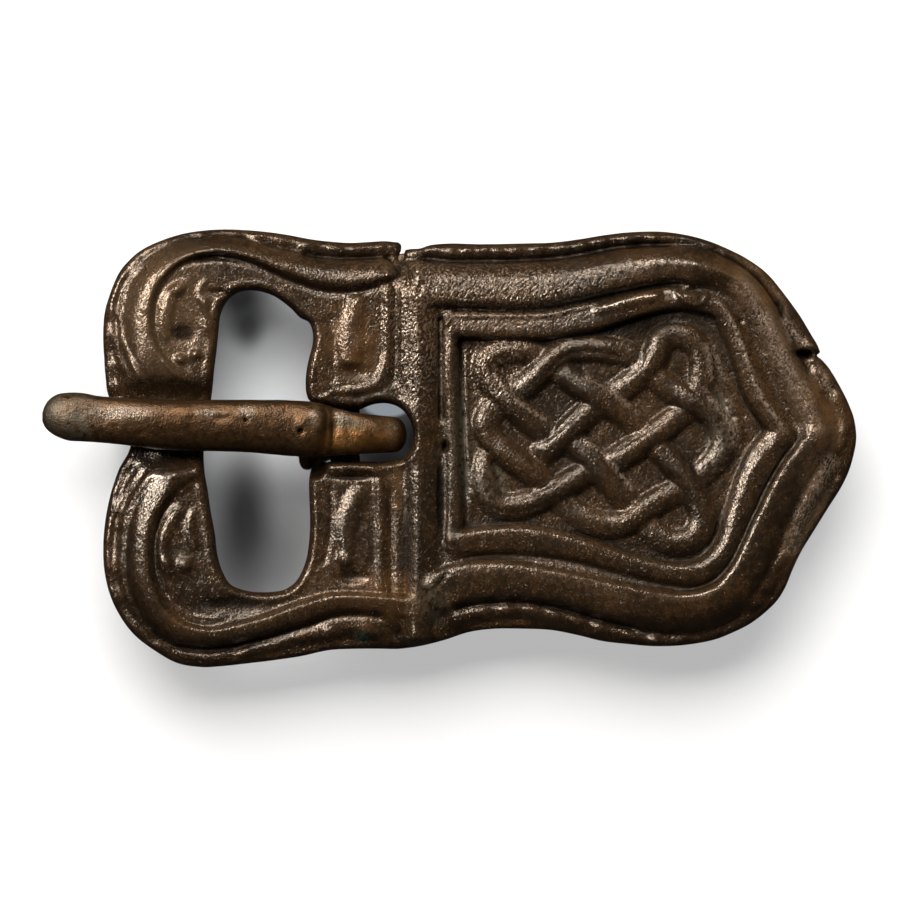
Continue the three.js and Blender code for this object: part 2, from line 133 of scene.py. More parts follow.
# The outer edge in stretches that meet at corners, clockwise from the loop's front
OUTLINE = [
    [(127, 424), (118, 408), (108, 396), (105, 378), (103.3, 355), (102.5, 335), (104, 313), (109, 295),
     (119, 272), (130, 259), (142, 249.5), (160, 241), (180, 234.5), (200, 231), (225, 229.5), (250, 230.5),
     (270, 232.5), (290, 235.5), (310, 239.3), (330, 241.7), (350, 243), (370, 242), (385, 241.3),
     (398, 242.5)],
    [(398, 242.5), (401, 245), (401, 250), (399, 255), (398, 259), (400.5, 262), (404, 258), (404, 254),
     (405, 250)],
    [(405, 250), (412, 249), (420, 248.5), (430, 245.3), (450, 243.6), (480, 244.3), (520, 243.6),
     (553, 242.6), (580, 239.3), (600, 236), (620, 233.3), (642, 231.8), (665, 232), (690, 235.8),
     (710, 241.5), (730, 249.8), (750, 260.3), (768, 274), (782, 290.5), (800, 315), (812, 335), (818, 345),
     (821, 352.5)],
    [(821, 352.5), (817.5, 355.5), (822, 359.5)],
    [(822, 359.5), (828, 366), (834, 375), (842, 389), (850, 405.5), (855, 420), (857, 438), (855, 452),
     (850, 470), (842, 487), (830, 506), (815, 530), (801, 553), (793, 570), (786, 587), (778, 600),
     (766, 612), (750, 624), (733, 632.5), (715, 639.5), (684, 645), (654, 646), (629, 644), (603, 641),
     (578, 635), (552, 630), (523, 628.6), (492, 628.8), (469, 632), (444, 640), (421, 645.7), (399, 648.7),
     (380, 648.6), (355, 648.7), (329, 650), (301, 656), (272, 660.3), (245, 663.5), (222, 666), (202, 667),
     (177, 663), (155, 651), (132, 633), (114, 606), (105, 578), (102.6, 546), (107, 507), (118, 470),
     (128, 452), (131, 438), (127, 424)],
]

# The opening, the slot over the bar and the hole behind it, in one edge
OPENING = [
    (250, 290.5), (262, 292), (275, 297), (290, 308), (300, 318), (308, 322), (311.5, 328), (313, 338),
    (312, 347), (309, 358), (306.5, 370), (305.5, 382), (306.2, 393), (309.5, 401), (318, 404.5),
    (331, 406.5), (346, 408.5), (355, 409.3), (361, 409), (367, 406.5), (375, 404), (387, 403.4),
    (399, 407.5), (408, 417), (413.5, 434.5), (410, 450), (401, 458), (390, 461), (362, 461.5),
    (345, 461.5), (329, 461.7), (317, 463.3), (311, 469), (309, 480), (309, 495), (310, 518),
    (309, 541), (305, 563), (296, 581), (284, 589.5), (270, 592), (254, 592), (241, 589.5),
    (230, 584.5), (223, 574), (217, 556), (214, 532), (210, 511), (207, 490), (204, 472), (203, 452),
    (206, 425), (211, 395), (213.5, 370), (216, 350), (218, 330), (220, 315), (224, 305),
    (231, 296.5), (240, 291.8),
]

# Rounded ridges: place, half widths to the left and right of the way they run, all in pixels
PLATE_BAND = [
    (424, 286, 22, 21, 9), (450, 286.5, 21, 20, 9), (500, 288, 20.5, 20.5, 10),
    (530, 287.5, 21, 21.5, 10), (560, 284, 21.5, 21, 10), (580, 280.5, 20.5, 20.5, 10),
    (600, 276, 20, 20, 10), (620, 271.5, 21, 21, 9), (640, 267.5, 21, 20.5, 8),
    (660, 265, 20.5, 19.5, 6), (680, 264.5, 20, 19, 4), (700, 267.5, 20, 19, 1),
    (722, 277, 20, 19, -3, 1), (741, 291, 20, 19, -6, 1), (757, 310, 19, 18.5, -8, 1),
    (769, 334, 18.5, 18, -8, 1), (779, 355, 18, 17.5, -8, 1), (789, 378, 18, 18, -8, 1),
    (799, 403, 18.5, 18, -7, 1), (809, 424, 18, 17, -4, 1), (815, 438, 17, 15, 0),
    (808, 454, 16, 15, 5), (796, 472, 16, 16, 8), (786, 489, 16.5, 16.5, 9), (776, 510, 17, 17, 9),
    (766, 530, 17.5, 17, 9), (757, 551, 18, 17, 9), (745, 576, 19, 18, 9), (727, 598, 20, 19, 9),
    (704, 609, 21, 20, 10), (680, 612.5, 21.5, 21, 11), (655, 610, 22, 21.5, 11),
    (635, 606, 22, 21, 11), (603, 599, 21.5, 20.5, 10), (570, 590, 19.5, 19, 9),
    (540, 584, 19, 18.5, 9), (508, 581, 20.5, 20.5, 9), (480, 582, 21.5, 21.5, 9),
    (455, 586, 22, 22, 8), (436, 592, 22, 20, 6),
]
LEFT_BAND = [
    (419, 272, 18, 17), (418, 292, 18.5, 19), (418, 330, 18.5, 19.5), (418.5, 380, 18.5, 20),
    (419, 430, 19, 19), (419, 480, 19, 14.5), (418, 540, 19.5, 12), (417, 590, 20, 12), (414, 636, 18, 15),
]
FRAME = [
    (451, 330, 18, 9), (470, 330, 19, 9), (500, 331, 20, 9), (545, 331.5, 21, 8.5), (575, 327, 21, 8.5),
    (600, 321, 21, 9), (630, 311.5, 20, 9), (655, 304.5, 18, 9), (680, 301.5, 16, 9),
    (702, 304, 15, 10, 0, 0), (724, 308, 12, 15), (737, 328, 12, 17),
    (743.5, 346, 12, 16), (749.5, 364, 12, 16), (756, 383, 12, 16),
    (765, 401, 12, 16), (776, 417, 12, 16), (786, 433, 12, 18),
    (774, 445, 15, 17, 0, 1), (762, 459, 18, 17, 0, 1), (753, 472, 20, 14, 0, 1),
    (746, 487, 21, 13, 0, 1), (740, 503, 22, 12, 0, 1), (735, 519, 22, 12, 0, 1),
    (730, 537, 22, 11, 0, 1), (721, 553, 21, 11, 0, 1), (707, 566, 20, 11, 0, 1), (688, 573, 19, 11),
    (665, 572, 18, 11), (640, 566, 18, 11), (610, 556, 18, 10), (580, 546.5, 18, 10),
    (550, 538.5, 18, 10), (520, 534.5, 18, 10), (490, 535.5, 19, 10), (466, 539, 19, 10),
    (451, 542, 18, 9),
]
FRAME_LEFT = [
    (452, 548, 8, 8), (454, 520, 8, 9), (454, 480, 8, 9), (453, 440, 7, 9), (452, 400, 7, 8),
    (451, 360, 6, 8), (451, 324, 6, 8),
]
UPPER_LOOP_BAND = [
    (180, 398, 26, 26, 0), (176, 388, 24, 24, 0), (164, 374, 17, 15, 8), (152, 360, 15, 13, 8),
    (144.5, 345, 14.5, 13, 8), (140.5, 329, 14.5, 13.5, 8), (140, 312, 14.5, 13.5, 8),
    (143, 296, 14, 13, 8), (149, 282, 14, 13, 8), (158, 269.5, 13, 12, 8), (171, 258, 12, 11, 8),
    (190, 250, 11.5, 10.5, 6), (214, 245.8, 10.5, 10.5, 6), (236, 247.5, 11, 11.5, 6),
    (256, 252.5, 11.5, 12, 6), (276, 260, 13, 14, 6), (300, 268.5, 15, 15.5, 6),
    (320, 273.5, 16.5, 16.5, 6), (345, 276, 17, 16.5, 6), (366, 274.5, 16, 15, 6),
    (380, 271.5, 14, 13, 6), (387, 269.5, 13, 12, 6),
]
LOWER_LOOP_BAND = [
    (180, 460, 26, 26, 0), (174, 474, 23, 24, 0), (160, 492, 16, 16, -6), (148.5, 510, 13.5, 13.5, -6),
    (142, 530, 13, 13, -6), (140, 555, 12.5, 12.5, -6), (142, 578, 12.5, 13, -6),
    (149, 599, 13, 14, -6), (161, 617, 13, 15, -6), (178, 630, 12.5, 14.5, -6),
    (198, 636, 12, 12.5, -6), (220, 636, 11, 11, -6), (245, 630.5, 12, 12, -6),
    (265, 625.5, 12, 12, -6), (286, 618, 13, 13, -6), (308, 610.5, 13.5, 13.5, -6),
    (332, 603.5, 12, 12, -6), (357, 602.5, 11, 11, -6), (378, 603.5, 11, 11, -6),
    (398, 605, 12, 12, -6), (416, 609, 15, 15, -6),
]

# Narrow ridges: how far each stands out, and its places with their half widths in pixels
THIN_RIDGES = [
    (0.16, [(130, 266, 3.5), (120, 281, 3.5), (113.5, 297, 3.5), (111, 318, 4), (112.5, 336, 4),
            (116.5, 352, 4), (122, 366, 4.5), (131, 381, 4)]),
    (0.16, [(126, 284, 3), (121.5, 300, 3), (119, 320, 3), (121, 338, 3.5), (127, 354, 3.5), (135, 370, 4),
            (145, 384, 4.5), (153, 396, 4)]),
    (0.16, [(196, 236.5, 2.5), (178, 243, 3), (158, 253, 3), (142, 266, 3.5), (131, 279, 3.5)]),
    (0.18, [(143, 462, 5), (132, 481, 5), (119, 503, 4), (111, 522, 4), (107.5, 545, 3.5), (109, 570, 3)]),
    (0.22, [(158, 461, 6), (145, 481, 5.5), (129, 506, 5), (122.5, 528, 5), (120.5, 552, 4.5),
            (122, 580, 4), (131, 606, 4), (146, 628, 4)]),
    (0.28, [(387, 262, 5), (387.5, 290, 5.5), (387.5, 330, 5.5), (386, 362, 6), (378, 382, 6.5),
            (362, 389.5, 5.5), (345, 391, 5), (328, 394, 4)]),
    (0.26, [(381, 600, 5), (380.5, 570, 5.5), (380.5, 530, 6), (380, 495, 6.5), (377, 473, 7),
            (362, 467, 7), (340, 466.5, 7), (322, 469, 6)]),
    (0.3, [(361, 292, 8), (356, 308, 11), (352, 328, 14), (350, 350, 14), (351, 370, 11)]),
    (0.26, [(362, 484, 8), (356, 498, 12), (349, 516, 13), (346, 534, 12), (346, 552, 10), (347, 568, 8)]),
    (0.28, [(190, 281, 5), (180, 287, 8), (170, 298, 10), (165, 315, 10), (164, 332, 8.5), (168, 345, 5)]),
    (0.2, [(590, 312, 7), (615, 306, 8), (640, 299, 8), (665, 295, 7)]),
    (0.16, [(211, 280, 3), (203, 284, 4), (199, 295, 4.5), (204, 306, 5), (206, 322, 5.5), (205, 338, 5)]),
    (0.3, [(184, 503, 6), (173, 518, 7.5), (165, 534, 9), (162.5, 550, 9), (166, 566, 8), (176, 578, 6)]),
    (0.22, [(196, 506, 5), (191, 522, 6.5), (191, 538, 6.5), (196, 552, 5)]),
    (0.1, [(160, 352, 2.5), (166, 364, 3), (177, 375, 3), (192, 383, 3), (207, 389, 2.5)]),
    (0.1, [(200, 479, 3), (186, 488, 3), (172, 500, 3)]),
    (0.16, [(465.5, 344, 3.5), (465.5, 370, 4), (466, 400, 4), (468, 440, 4), (470, 475, 4),
            (471, 505, 4), (470, 524, 3)]),
    (0.14, [(706, 342, 2.5), (709.5, 362, 3), (711, 383, 2.5)]),
    (0.12, [(713, 344, 2.5), (717, 358, 3), (721, 371, 3), (729, 382, 2.5)]),
    (0.18, [(703, 386, 3), (714, 402, 3.5), (727, 417, 3.5), (733, 432, 3.5), (735, 449, 3)]),
    (0.16, [(724, 398, 4), (733, 410, 7), (738, 424, 7), (740, 445, 5)]),
    (0.16, [(447, 400, 2.5), (445.5, 360, 2.5), (446, 325, 3), (452, 318, 3), (470, 316.5, 2.5),
            (505, 316.5, 2.5), (545, 315.5, 2.5), (575, 309.5, 2.5), (600, 304, 2)]),
    (0.24, [(709, 294, 3), (722, 306, 3.5), (733, 319, 3.5), (742, 342, 3.5), (749, 365, 3.5),
            (755.5, 385, 3.5), (767, 405, 3.5), (781, 425, 3.5), (789, 436, 3)]),
]

# The rim's own rounded line
RIM_LINES = [
    (0.17, [(424, 250, 5), (440, 251, 7), (465, 251, 8), (510, 251, 8), (550, 249.5, 8),
            (580, 246.5, 7), (610, 241, 6.5), (640, 238.5, 6), (670, 239, 6), (700, 245, 5)]),
    (0.24, [(402, 642, 7), (425, 634, 8), (447, 625.5, 9), (468, 617.5, 9), (500, 613, 9), (530, 613, 9),
            (560, 618, 9), (590, 626, 9), (620, 633, 8), (650, 639, 7), (685, 638, 6), (715, 631, 6)]),
    (0.24, [(150, 640, 5), (166, 648, 6), (190, 655, 6.5), (220, 656.5, 6.5), (250, 652, 6.5),
            (285, 643, 7), (315, 636, 8), (345, 631, 8.5), (368, 631.5, 8.5), (390, 638, 8), (408, 644, 6)]),
    (0.2, [(240, 237, 5), (262, 238, 6.5), (285, 242, 7), (310, 247, 7.5), (340, 250, 7.5), (370, 250, 7),
           (396, 249, 6)]),
    (0.2, [(782, 310, 5), (795, 328, 7), (810, 349, 8), (822, 372, 8), (834, 393, 8), (843, 415, 7),
           (845, 436, 7), (839, 456, 7)]),
    (0.26, [(834, 462, 6), (825, 475, 8), (813, 496, 9), (801, 519, 9), (791, 542, 9), (781, 565, 9),
            (768, 587, 8.5), (754, 605, 8), (738, 620, 7)]),
]
BEADS = [
    (257, 237, 7), (282, 241, 7), (307, 246.5, 7.5), (335, 250, 7.5), (357, 250, 7), (380, 248, 6),
    (433, 249.5, 6.5), (451, 252.5, 6), (467, 251, 6), (484, 250.5, 6), (498, 252.5, 5.5), (516, 251.5, 6.5),
    (538, 250.5, 7), (561, 249.5, 6.5), (582, 246.5, 6), (603, 242.5, 5), (626, 240.5, 5), (652, 239, 5),
    (788, 321, 6), (811, 347, 7), (817, 395, 7), (833, 377, 7), (839, 399, 7), (846, 430, 6),
    (826, 472, 7), (817, 490, 7), (809, 503, 7), (802, 519, 8), (794, 538, 8), (787, 556, 7), (766, 586, 7),
    (753, 604, 7), (457, 618, 8), (481, 611.5, 8), (507, 609, 8), (531, 611, 8), (555, 615, 8),
    (577, 621, 8), (600, 628.5, 7.5), (630, 635.5, 7), (655, 640, 6), (425, 634, 7), (245, 653, 6),
    (205, 657, 6), (330, 634, 7), (362, 632, 8),
]

# Single lumps and hollows: place, half width, half height in pixels, and rise
LUMPS = [
    (180.5, 359.5, 5, 4.5, 0.34), (196, 354.5, 5, 4.8, 0.34), (363, 345, 8, 9, 0.2),
    (184, 333, 13, 12, -0.2), (177, 290, 7, 5, 0.2), (138, 372, 17, 28, 0.25), (396, 276, 8, 15, 0.35),
    (185, 565, 8, 7, 0.3), (166, 563, 6, 6, 0.2), (345, 561, 7, 6, 0.25), (356, 372, 15, 6, -0.2),
    (352, 577, 14, 6, -0.35), (352, 477, 26, 2.5, -0.22), (806, 354, 10, 3.6, -0.9), (445, 447, 3, 5, -0.7),
    (740, 322, 2.5, 2.5, -0.25), (232, 605, 38, 10, -0.22), (218, 293, 10, 3, -0.25),
    (822, 432, 10, 6, 0.12), (140, 463, 9, 7, 0.15), (690, 296, 14, 9, 0.28), (692, 291, 8, 2.4, -0.35),
    (448, 592, 11, 14, -0.3), (195, 238, 8, 1.3, -0.2), (460, 395, 3, 60, -0.12), (205, 303, 4, 8, 0.2),
]

# Scored and raised fine lines: depth or rise, half width in pixels, and the line
FINE_LINES = [
    (-0.42, 4, [(414, 257), (430, 259), (450, 261), (490, 261), (530, 260), (560, 257.5), (590, 252.5),
                (620, 247), (650, 245), (680, 246)]),
    (-0.26, 3.8, [(437, 307), (460, 308.5), (500, 309.5), (540, 309), (570, 304), (600, 297), (640, 288.5),
                  (672, 284), (690, 284)]),
    (-0.12, 7, [(690, 284), (706, 287), (724, 300), (737, 316), (747, 333), (756, 353), (766, 375),
                (777, 398), (790, 420), (797, 437)]),
    (-0.22, 3.4, [(800, 437), (787, 452), (775, 471), (764, 491), (755, 511),
                  (747, 528), (739, 545), (729, 563), (716, 577), (696, 586), (672, 585), (640, 579),
                  (610, 571), (580, 563), (545, 557.5), (500, 554.5), (470, 556), (446, 560)]),
    (-0.34, 3.4, [(440, 312), (440.5, 360), (440.5, 425)]),
    (-0.08, 5, [(440.5, 425), (441.5, 480), (442, 530), (442, 572)]),
    (0.14, 2, [(447, 400), (445, 360), (445.5, 325), (452, 317), (470, 316), (505, 316), (545, 315),
               (575, 309), (600, 303.5)]),
    (0.1, 1.8, [(450.5, 395), (450.5, 350), (452, 332)]),
    (-0.16, 4, [(458.5, 345), (459, 400), (461, 450), (463, 500)]),
    (-0.35, 4, [(446, 612), (465, 605.5), (492, 602), (523, 602), (555, 607), (587, 616), (620, 625),
                (645, 630)]),
    (-0.35, 4.5, [(168, 644), (190, 648), (220, 647.5), (250, 641.5), (280, 633), (307, 625), (332, 617),
                  (352, 615), (372, 616), (392, 621)]),
    (-0.22, 3.5, [(300, 254), (320, 257.5), (345, 258), (370, 258), (394, 258)]),
    (-0.18, 3.4, [(187, 262), (212, 257.5), (235, 260), (256, 265.5), (276, 275), (300, 284.5),
                  (322, 291.5), (345, 293), (365, 290), (381, 284)]),
    (-0.16, 3, [(203, 478), (184, 488), (167, 505), (157.5, 528), (154.5, 556), (157.5, 580), (172, 603)]),
    (0.1, 1.6, [(152, 577), (163, 598), (180, 614), (200, 622), (224, 624), (245, 617), (265, 612.5)]),
    (0.08, 1.6, [(158, 590), (174, 606), (190, 615), (206, 618), (226, 617.5)]),
    (-0.2, 3, [(395.5, 284), (395, 305), (395, 340), (394.5, 372), (393, 388)]),
    (-0.18, 3, [(391, 600), (391, 560), (391, 520), (390, 486)]),
    (0.1, 1.4, [(401.5, 270), (401.5, 320), (402, 370)]),
    (-0.1, 4, [(331, 387), (333, 360), (331, 330), (328, 312)]),
    (-0.14, 2.5, [(330, 482), (331, 510), (329, 540), (322, 568)]),
    (-0.16, 2.4, [(434, 590), (441, 582), (448, 571)]),
    (-0.12, 1.5, [(716, 395), (728, 408)]),
    (0.12, 1.5, [(319, 399.5), (326, 396), (334, 391)]),
    (0.14, 1.8, [(675, 283), (677, 292), (683, 300), (692, 305), (701, 304), (706, 297), (707, 290)]),
    (-0.14, 1.4, [(730, 417), (746, 416)]),
]

# The knot: three closed strands, each place with its level, 1 over and -1 under
KNOT = [
    [(527, 385, 0.3), (539, 373, 1), (553, 359, 1), (567, 351, 0.4), (585, 349, 0), (605, 350, 0),
     (625, 354, -0.8), (641, 364, -1), (657, 379, -0.3), (671, 390, 0), (689, 400, 1), (707, 411, 0.8),
     (719, 425, 0), (724, 441, 0), (719, 457, 0), (707, 471, -0.7), (693, 483, -1), (675, 493, -0.6),
     (659, 501, 0.2), (643, 511, 1), (629, 521, 0.8), (611, 525, 0), (593, 522, 0), (577, 513, -0.6),
     (563, 502, -1), (551, 491, -0.9), (539, 479, 0.2), (521, 465, 1), (503, 451, 0.8), (490, 437, 0),
     (486, 423, 0), (491, 411, -0.7), (503, 401, -1), (515, 392, -0.9)],
    [(543, 431, -0.5), (525, 417, 0.3), (509, 403, 1), (495, 387, 0.6), (486, 373, 0), (488, 360, 0),
     (501, 352, 0), (521, 351, -0.2), (539, 356, -1), (553, 366, -1), (569, 378, 0), (587, 390, 1),
     (607, 403, 0.8), (627, 417, -0.4), (645, 434, -1), (663, 453, 0), (677, 468, 0.8), (689, 483, 1),
     (697, 499, 0.2), (702, 515, 0), (699, 531, 0), (687, 541, 0), (671, 542, 0), (657, 534, -0.4),
     (646, 523, -1), (635, 511, -1), (623, 497, -0.2), (607, 478, 0.9), (593, 461, 1), (579, 447, 0),
     (561, 439, -1)],
    [(658, 350, 0.9), (650, 365, 1), (636, 379, 0.3), (620, 391, -0.7), (604, 401, -1), (588, 413, 0),
     (575, 425, 0.9), (561, 439, 1), (546, 451, 0), (532, 461, -3), (515, 468, -4), (497, 463, -4),
     (488, 460, -1), (485, 474, 0), (485, 486, 0), (490, 498, 0), (502, 506, 0), (519, 506, 0),
     (541, 498, 0.8), (561, 488, 1), (580, 477, 0.2), (598, 468, -1), (620, 458, 0.3), (638, 446, 1),
     (660, 431, 0.6), (679, 416, -0.5), (692, 404, -1), (700, 389, -0.3), (703, 369, 0), (699, 349, 0),
     (687, 338, 0), (673, 336, 0), (662, 340, 0.4)],
]
KNOT_LINES = [
    (0.09, 1.7, [(498, 377), (506, 389), (515, 399), (531, 411), (550, 422)]),
    (0.09, 1.7, [(582, 372), (594, 381), (607, 390), (622, 400), (641, 416)]),
    (0.1, 1.7, [(582, 438), (594, 447), (607, 458), (620, 473), (634, 492)]),
    (0.08, 1.6, [(703, 386), (714, 402), (725, 415)]),
    (0.08, 1.6, [(698, 450), (705, 460), (710, 470)]),
    (-0.13, 2.2, [(545, 377), (556, 363), (570, 354), (590, 352), (610, 354), (625, 360)]),
    (-0.09, 1.6, [(492, 494), (506, 500), (521, 499), (541, 490), (560, 480)]),
    (-0.09, 1.6, [(489, 506), (505, 512), (524, 511), (546, 503), (563, 494)]),
    (-0.1, 1.6, [(481, 385), (479, 370), (483, 357), (496, 348), (518, 346)]),
    (-0.1, 1.6, [(494, 380), (491, 370), (497, 361), (512, 357)]),
    (-0.09, 1.5, [(646, 353), (640, 366), (628, 377)]),
    (-0.09, 1.5, [(583, 409), (570, 421), (556, 433), (543, 442)]),
    (-0.08, 1.5, [(613, 452), (632, 441), (655, 426), (672, 413)]),
]

# Painted highlights: lines painted lighter, which also make the metal a little smoother: how much, half
# width in pixels, and the line
PAINTED_HIGHLIGHT_LINES = [
    (0.8, 7, [(728, 280), (744, 290), (758, 310), (771, 336), (784, 362), (797, 390), (810, 416),
              (822, 438)]),
    (1, 2.4, [(782, 318), (787, 330), (791, 343)]),
    (1, 2.4, [(803, 380), (808, 392), (815, 403)]),
    (0.8, 4.5, [(787, 322), (797, 336), (808, 350)]),
    (0.8, 5, [(812, 366), (824, 380), (834, 396)]),
    (1, 2.4, [(712, 296), (724, 310), (735, 330), (744, 352), (751, 372), (758, 390), (769, 408),
              (781, 425), (788, 436)]),
    (0.7, 2.5, [(498, 377), (506, 389), (515, 399), (531, 411), (550, 422)]),
    (0.6, 2.5, [(582, 372), (594, 381), (607, 390), (622, 400), (641, 416)]),
    (1, 2.5, [(582, 438), (594, 447), (607, 458), (620, 473), (634, 492)]),
    (0.8, 3, [(706, 342), (709.5, 362), (711, 383)]),
    (0.7, 2.5, [(713, 344), (717, 358), (721, 371), (729, 382)]),
    (0.9, 3, [(703, 386), (714, 402), (727, 417), (733, 432), (735, 449)]),
    (0.8, 8, [(834, 452), (826, 470), (815, 492), (803, 515), (795, 537), (787, 556)]),
    (0.5, 4, [(445, 318), (470, 316.5), (505, 316.5), (545, 315.5), (575, 309.5), (600, 304)]),
    (0.6, 4, [(445, 400), (445, 360), (446, 325)]),
]

# Sizes of the bar, the studs and the roves; each unevenness of a stud or rove gives its shift from one
# to the next, its size and its seed
BAR_PIXEL = 345
BAR_END_PIXELS = (400, 461)
BAR_WIDTH = 2.1
BAR_THICKNESS = 1.4
BAR_EMBED = 0.3
BAR_WEAR = 0.12
BAR_WEAR_NARROWNESS = 2
BAR_SIDES = 32
BAR_RINGS = 24
STUDS = [((420, 287), 7), ((420, 597), -11), ((792, 438), 4)]
STUD_PROFILE = [
    (0, 0.03), (0.6, 0.02), (1.1, 0), (1.4, 0.04), (1.55, 0.13), (1.6, 0.25), (1.56, 0.38), (1.45, 0.47),
    (1.3, HEAD_TOP), (1, HEAD_TOP), (1, 2), (1, 3.6), (1, POCKET - 0.8), (1.06, POCKET - 0.45),
    (1.25, POCKET - 0.2), (1.8, POCKET), (1.8, POCKET + 0.3), (0, POCKET + 0.3),
]
STUD_SIDES = 72
STUD_DENTS = (7, 0.9, 31)
STUD_DENT_DEPTH = 0.03
STUD_SPREAD = (5, 0.8, 32)
STUD_SPREAD_SHARE = 0.04
ROVE_SIDE = 5
ROVE_HOLE = 1.3
ROVE_SQUARENESS = 5
ROVE_SIDES = 160
ROVE_MIDDLE = HEAD_TOP + ROVE_THICKNESS / 2
ROVE_WEAR = (9, 1.1, 41)
ROVE_WEAR_SHARE = 0.012
ROVE_DENTS = (4, 0.7, 42)
ROVE_DENT_SHARE = 0.05
ROVE_PROFILE = [
    (1.3, 0.58), (1.38, 0.5), (1.7, 0.5), (2.1, 0.5), (2.38, 0.52), (2.47, 0.6), (2.5, 0.75), (2.5, 1.05),
    (2.47, 1.2), (2.38, 1.28), (2.1, 1.3), (1.7, 1.3), (1.38, 1.3), (1.3, 1.22), (1.3, 0.9),
]

# The tongue: each station of its shank by its pixel, upper and lower side, level and thickness, then
# the hook round the bar by its angle, distance, thickness and sides
TONGUE_HEIGHT = 7.15
TONGUE_THICKNESS = 2.02
HOOK_REACH = 2.3
HOOK_THICKNESS = 1.6
TONGUE_SHANK = [
    (44, 412, 423, 0.62, 0.3), (48, 402, 430, 0.68, 0.62), (56, 395, 436, 0.74, 0.84),
    (68, 392.7, 440.5, 0.8, 0.94), (82, 393, 441.5, 0.85, 0.97), (98, 396, 442.5, 0.9, 0.96),
    (125, 398, 445, 0.95, 0.95), (160, 399.5, 449.5, 0.98, 0.97), (205, 400, 451, 1, 0.98),
    (250, 400, 452.5, 1, 0.99), (290, 400.5, 456, 1, 1), (316, 402.5, 457, 1, 1.06),
]
TONGUE_HOOK = [
    (112, 1.05, 0.97, 407, 456), (88, 1.03, 0.98, 411, 455), (64, 1.12, 1.03, 413.5, 454),
    (40, 1.3, 1.1, 415.5, 453), (10, 1.42, 1.15, 417, 452.5), (-20, 1.33, 1.12, 419, 451.5),
    (-50, 1.16, 1.04, 421, 450), (-80, 1.02, 1, 422, 453), (-110, 1.02, 0.98, 427, 458),
    (-138, 1.1, 0.94, 434, 465), (-160, 1.2, 0.8, 441, 470), (-170, 1.24, 0.4, 446, 468),
]
TONGUE_FLATNESS = 0.85
TONGUE_STEP = 0.13
TONGUE_SIDES = 72
TONGUE_CAP_RINGS = 4
TONGUE_UNEVENNESS = [(0.018, 0.3, 51), (0.03, 1.3, 52)]
MARKS_FADE = 1.5
MARKS_ABOVE_BAR = 0.5
TONGUE_LUMPS = [
    (246, 419, 3, 3, -0.1), (301, 431, 3.2, 3.4, -0.13), (141, 433, 1.6, 2.4, -0.12),
    (312, 420, 12, 14, 0.1), (222, 418, 7, 3, -0.06), (125, 444, 6, 3, 0.06), (286, 410, 2, 5, -0.08),
    (385, 432, 16, 14, 0.12), (345, 428, 16, 18, -0.12), (100, 412, 24, 14, -0.1),
    (165, 414, 32, 14, 0.08),
]
TONGUE_LINES = [
    (-0.2, 3.2, [(320, 402), (325, 412), (326, 425), (325, 440), (322, 455)]),
    (0.05, 4, [(314, 405), (320, 415), (321, 425), (318, 436)]),
    (-0.025, 2, [(180, 421), (200, 417), (222, 419), (245, 421)]),
]

# The knot's strands
STRAND_HALF_PIXELS = 14.2
STRAND_LIFT = 0.18
STRAND_ROUNDNESS = 1.8
STRAND_REACH = 1.2
STRAND_FILLET = 0.05
KNOT_FLOOR = 5.95
STRAND_FOOT = KNOT_FLOOR - 0.12

# The sides of ridges, each by the powers of its spread and of its fall; the last two are facets
SLOPE = (1.6, 1)
STRAIGHT = (1.25, 1)
GENTLE = (1.4, 1)
ROUND = (2, 0.5)
WALL = (2.6, 0.4)
HOLLOWED = (1.2, 1.5)
FACET = (1.15, 0.4)

# How ridges round off at their ends, and how narrow ridges, fine lines and lumps fade
LOOP_END = 0.5
BAND_END = 0.8
FRAME_END = 0.3
STEEPEST = 0.42
THIN_FALL = 1.3
THIN_FADE = 0.12
SCORE_FADE = 0.08
SCORE_REACH = 3
LUMP_FALL = 1.3

# The rim's slope up to the field, the panel's edge, the beads, and the lip round the opening
RIM_START = 0.5
RIM_SLOPE = 1.9
PANEL_START = 0.1
PANEL_SLOPE = 0.35
BEAD_RISE = 0.15
LIP_PLACE = 0.42
LIP_WIDTH = 0.25
LIP_RISE = 0.1

# The seats that the tongue and its hook rest in, the back's hollow, and the rounding of the edges
SADDLE_MIDDLE_PIXEL = 425.5
SADDLE_HALF_PIXELS = 26
SADDLE_END_PIXEL = 232
SADDLE_SLOPE = 1.25
SADDLE_FILLET = 1.1
HOOK_REST_PIXELS = [(300, 468), (316, 446)]
HOOK_REST_SLOPE = 0.5
HOOK_REST_CURVE = 1.5
HOOK_REST_FILLET = 0.4
BACK_RIM = 1.4
POCKET_START_PIXEL = 428
POCKET_SLOPE = 0.7
EDGE_ROUND = 0.4
OPENING_ROUND = 0.55
BACK_ROUND = 0.25

# The cast surface's unevenness, by its rise, its size and its seed
RIM_UNEVENNESS = (0.085, 0.7, 14)
RIM_UNEVEN_TO = 1.5
RIM_UNEVEN_FADE = 0.5
CAST_UNEVENNESS = [(0.014, 0.26, 11), (0.014, 0.5, 12), (0.02, 1.7, 13)]
BACK_UNEVENNESS = [(0.02, 0.9, 21), (0.01, 0.35, 22)]

# What counts as a crest or a hollow: the radius that it stands out from, and by how much
CREST_RADIUS = 0.7
CREST_RISE = 0.3
HOLLOW_RADIUS = 0.9
HOLLOW_DEPTH = 0.35

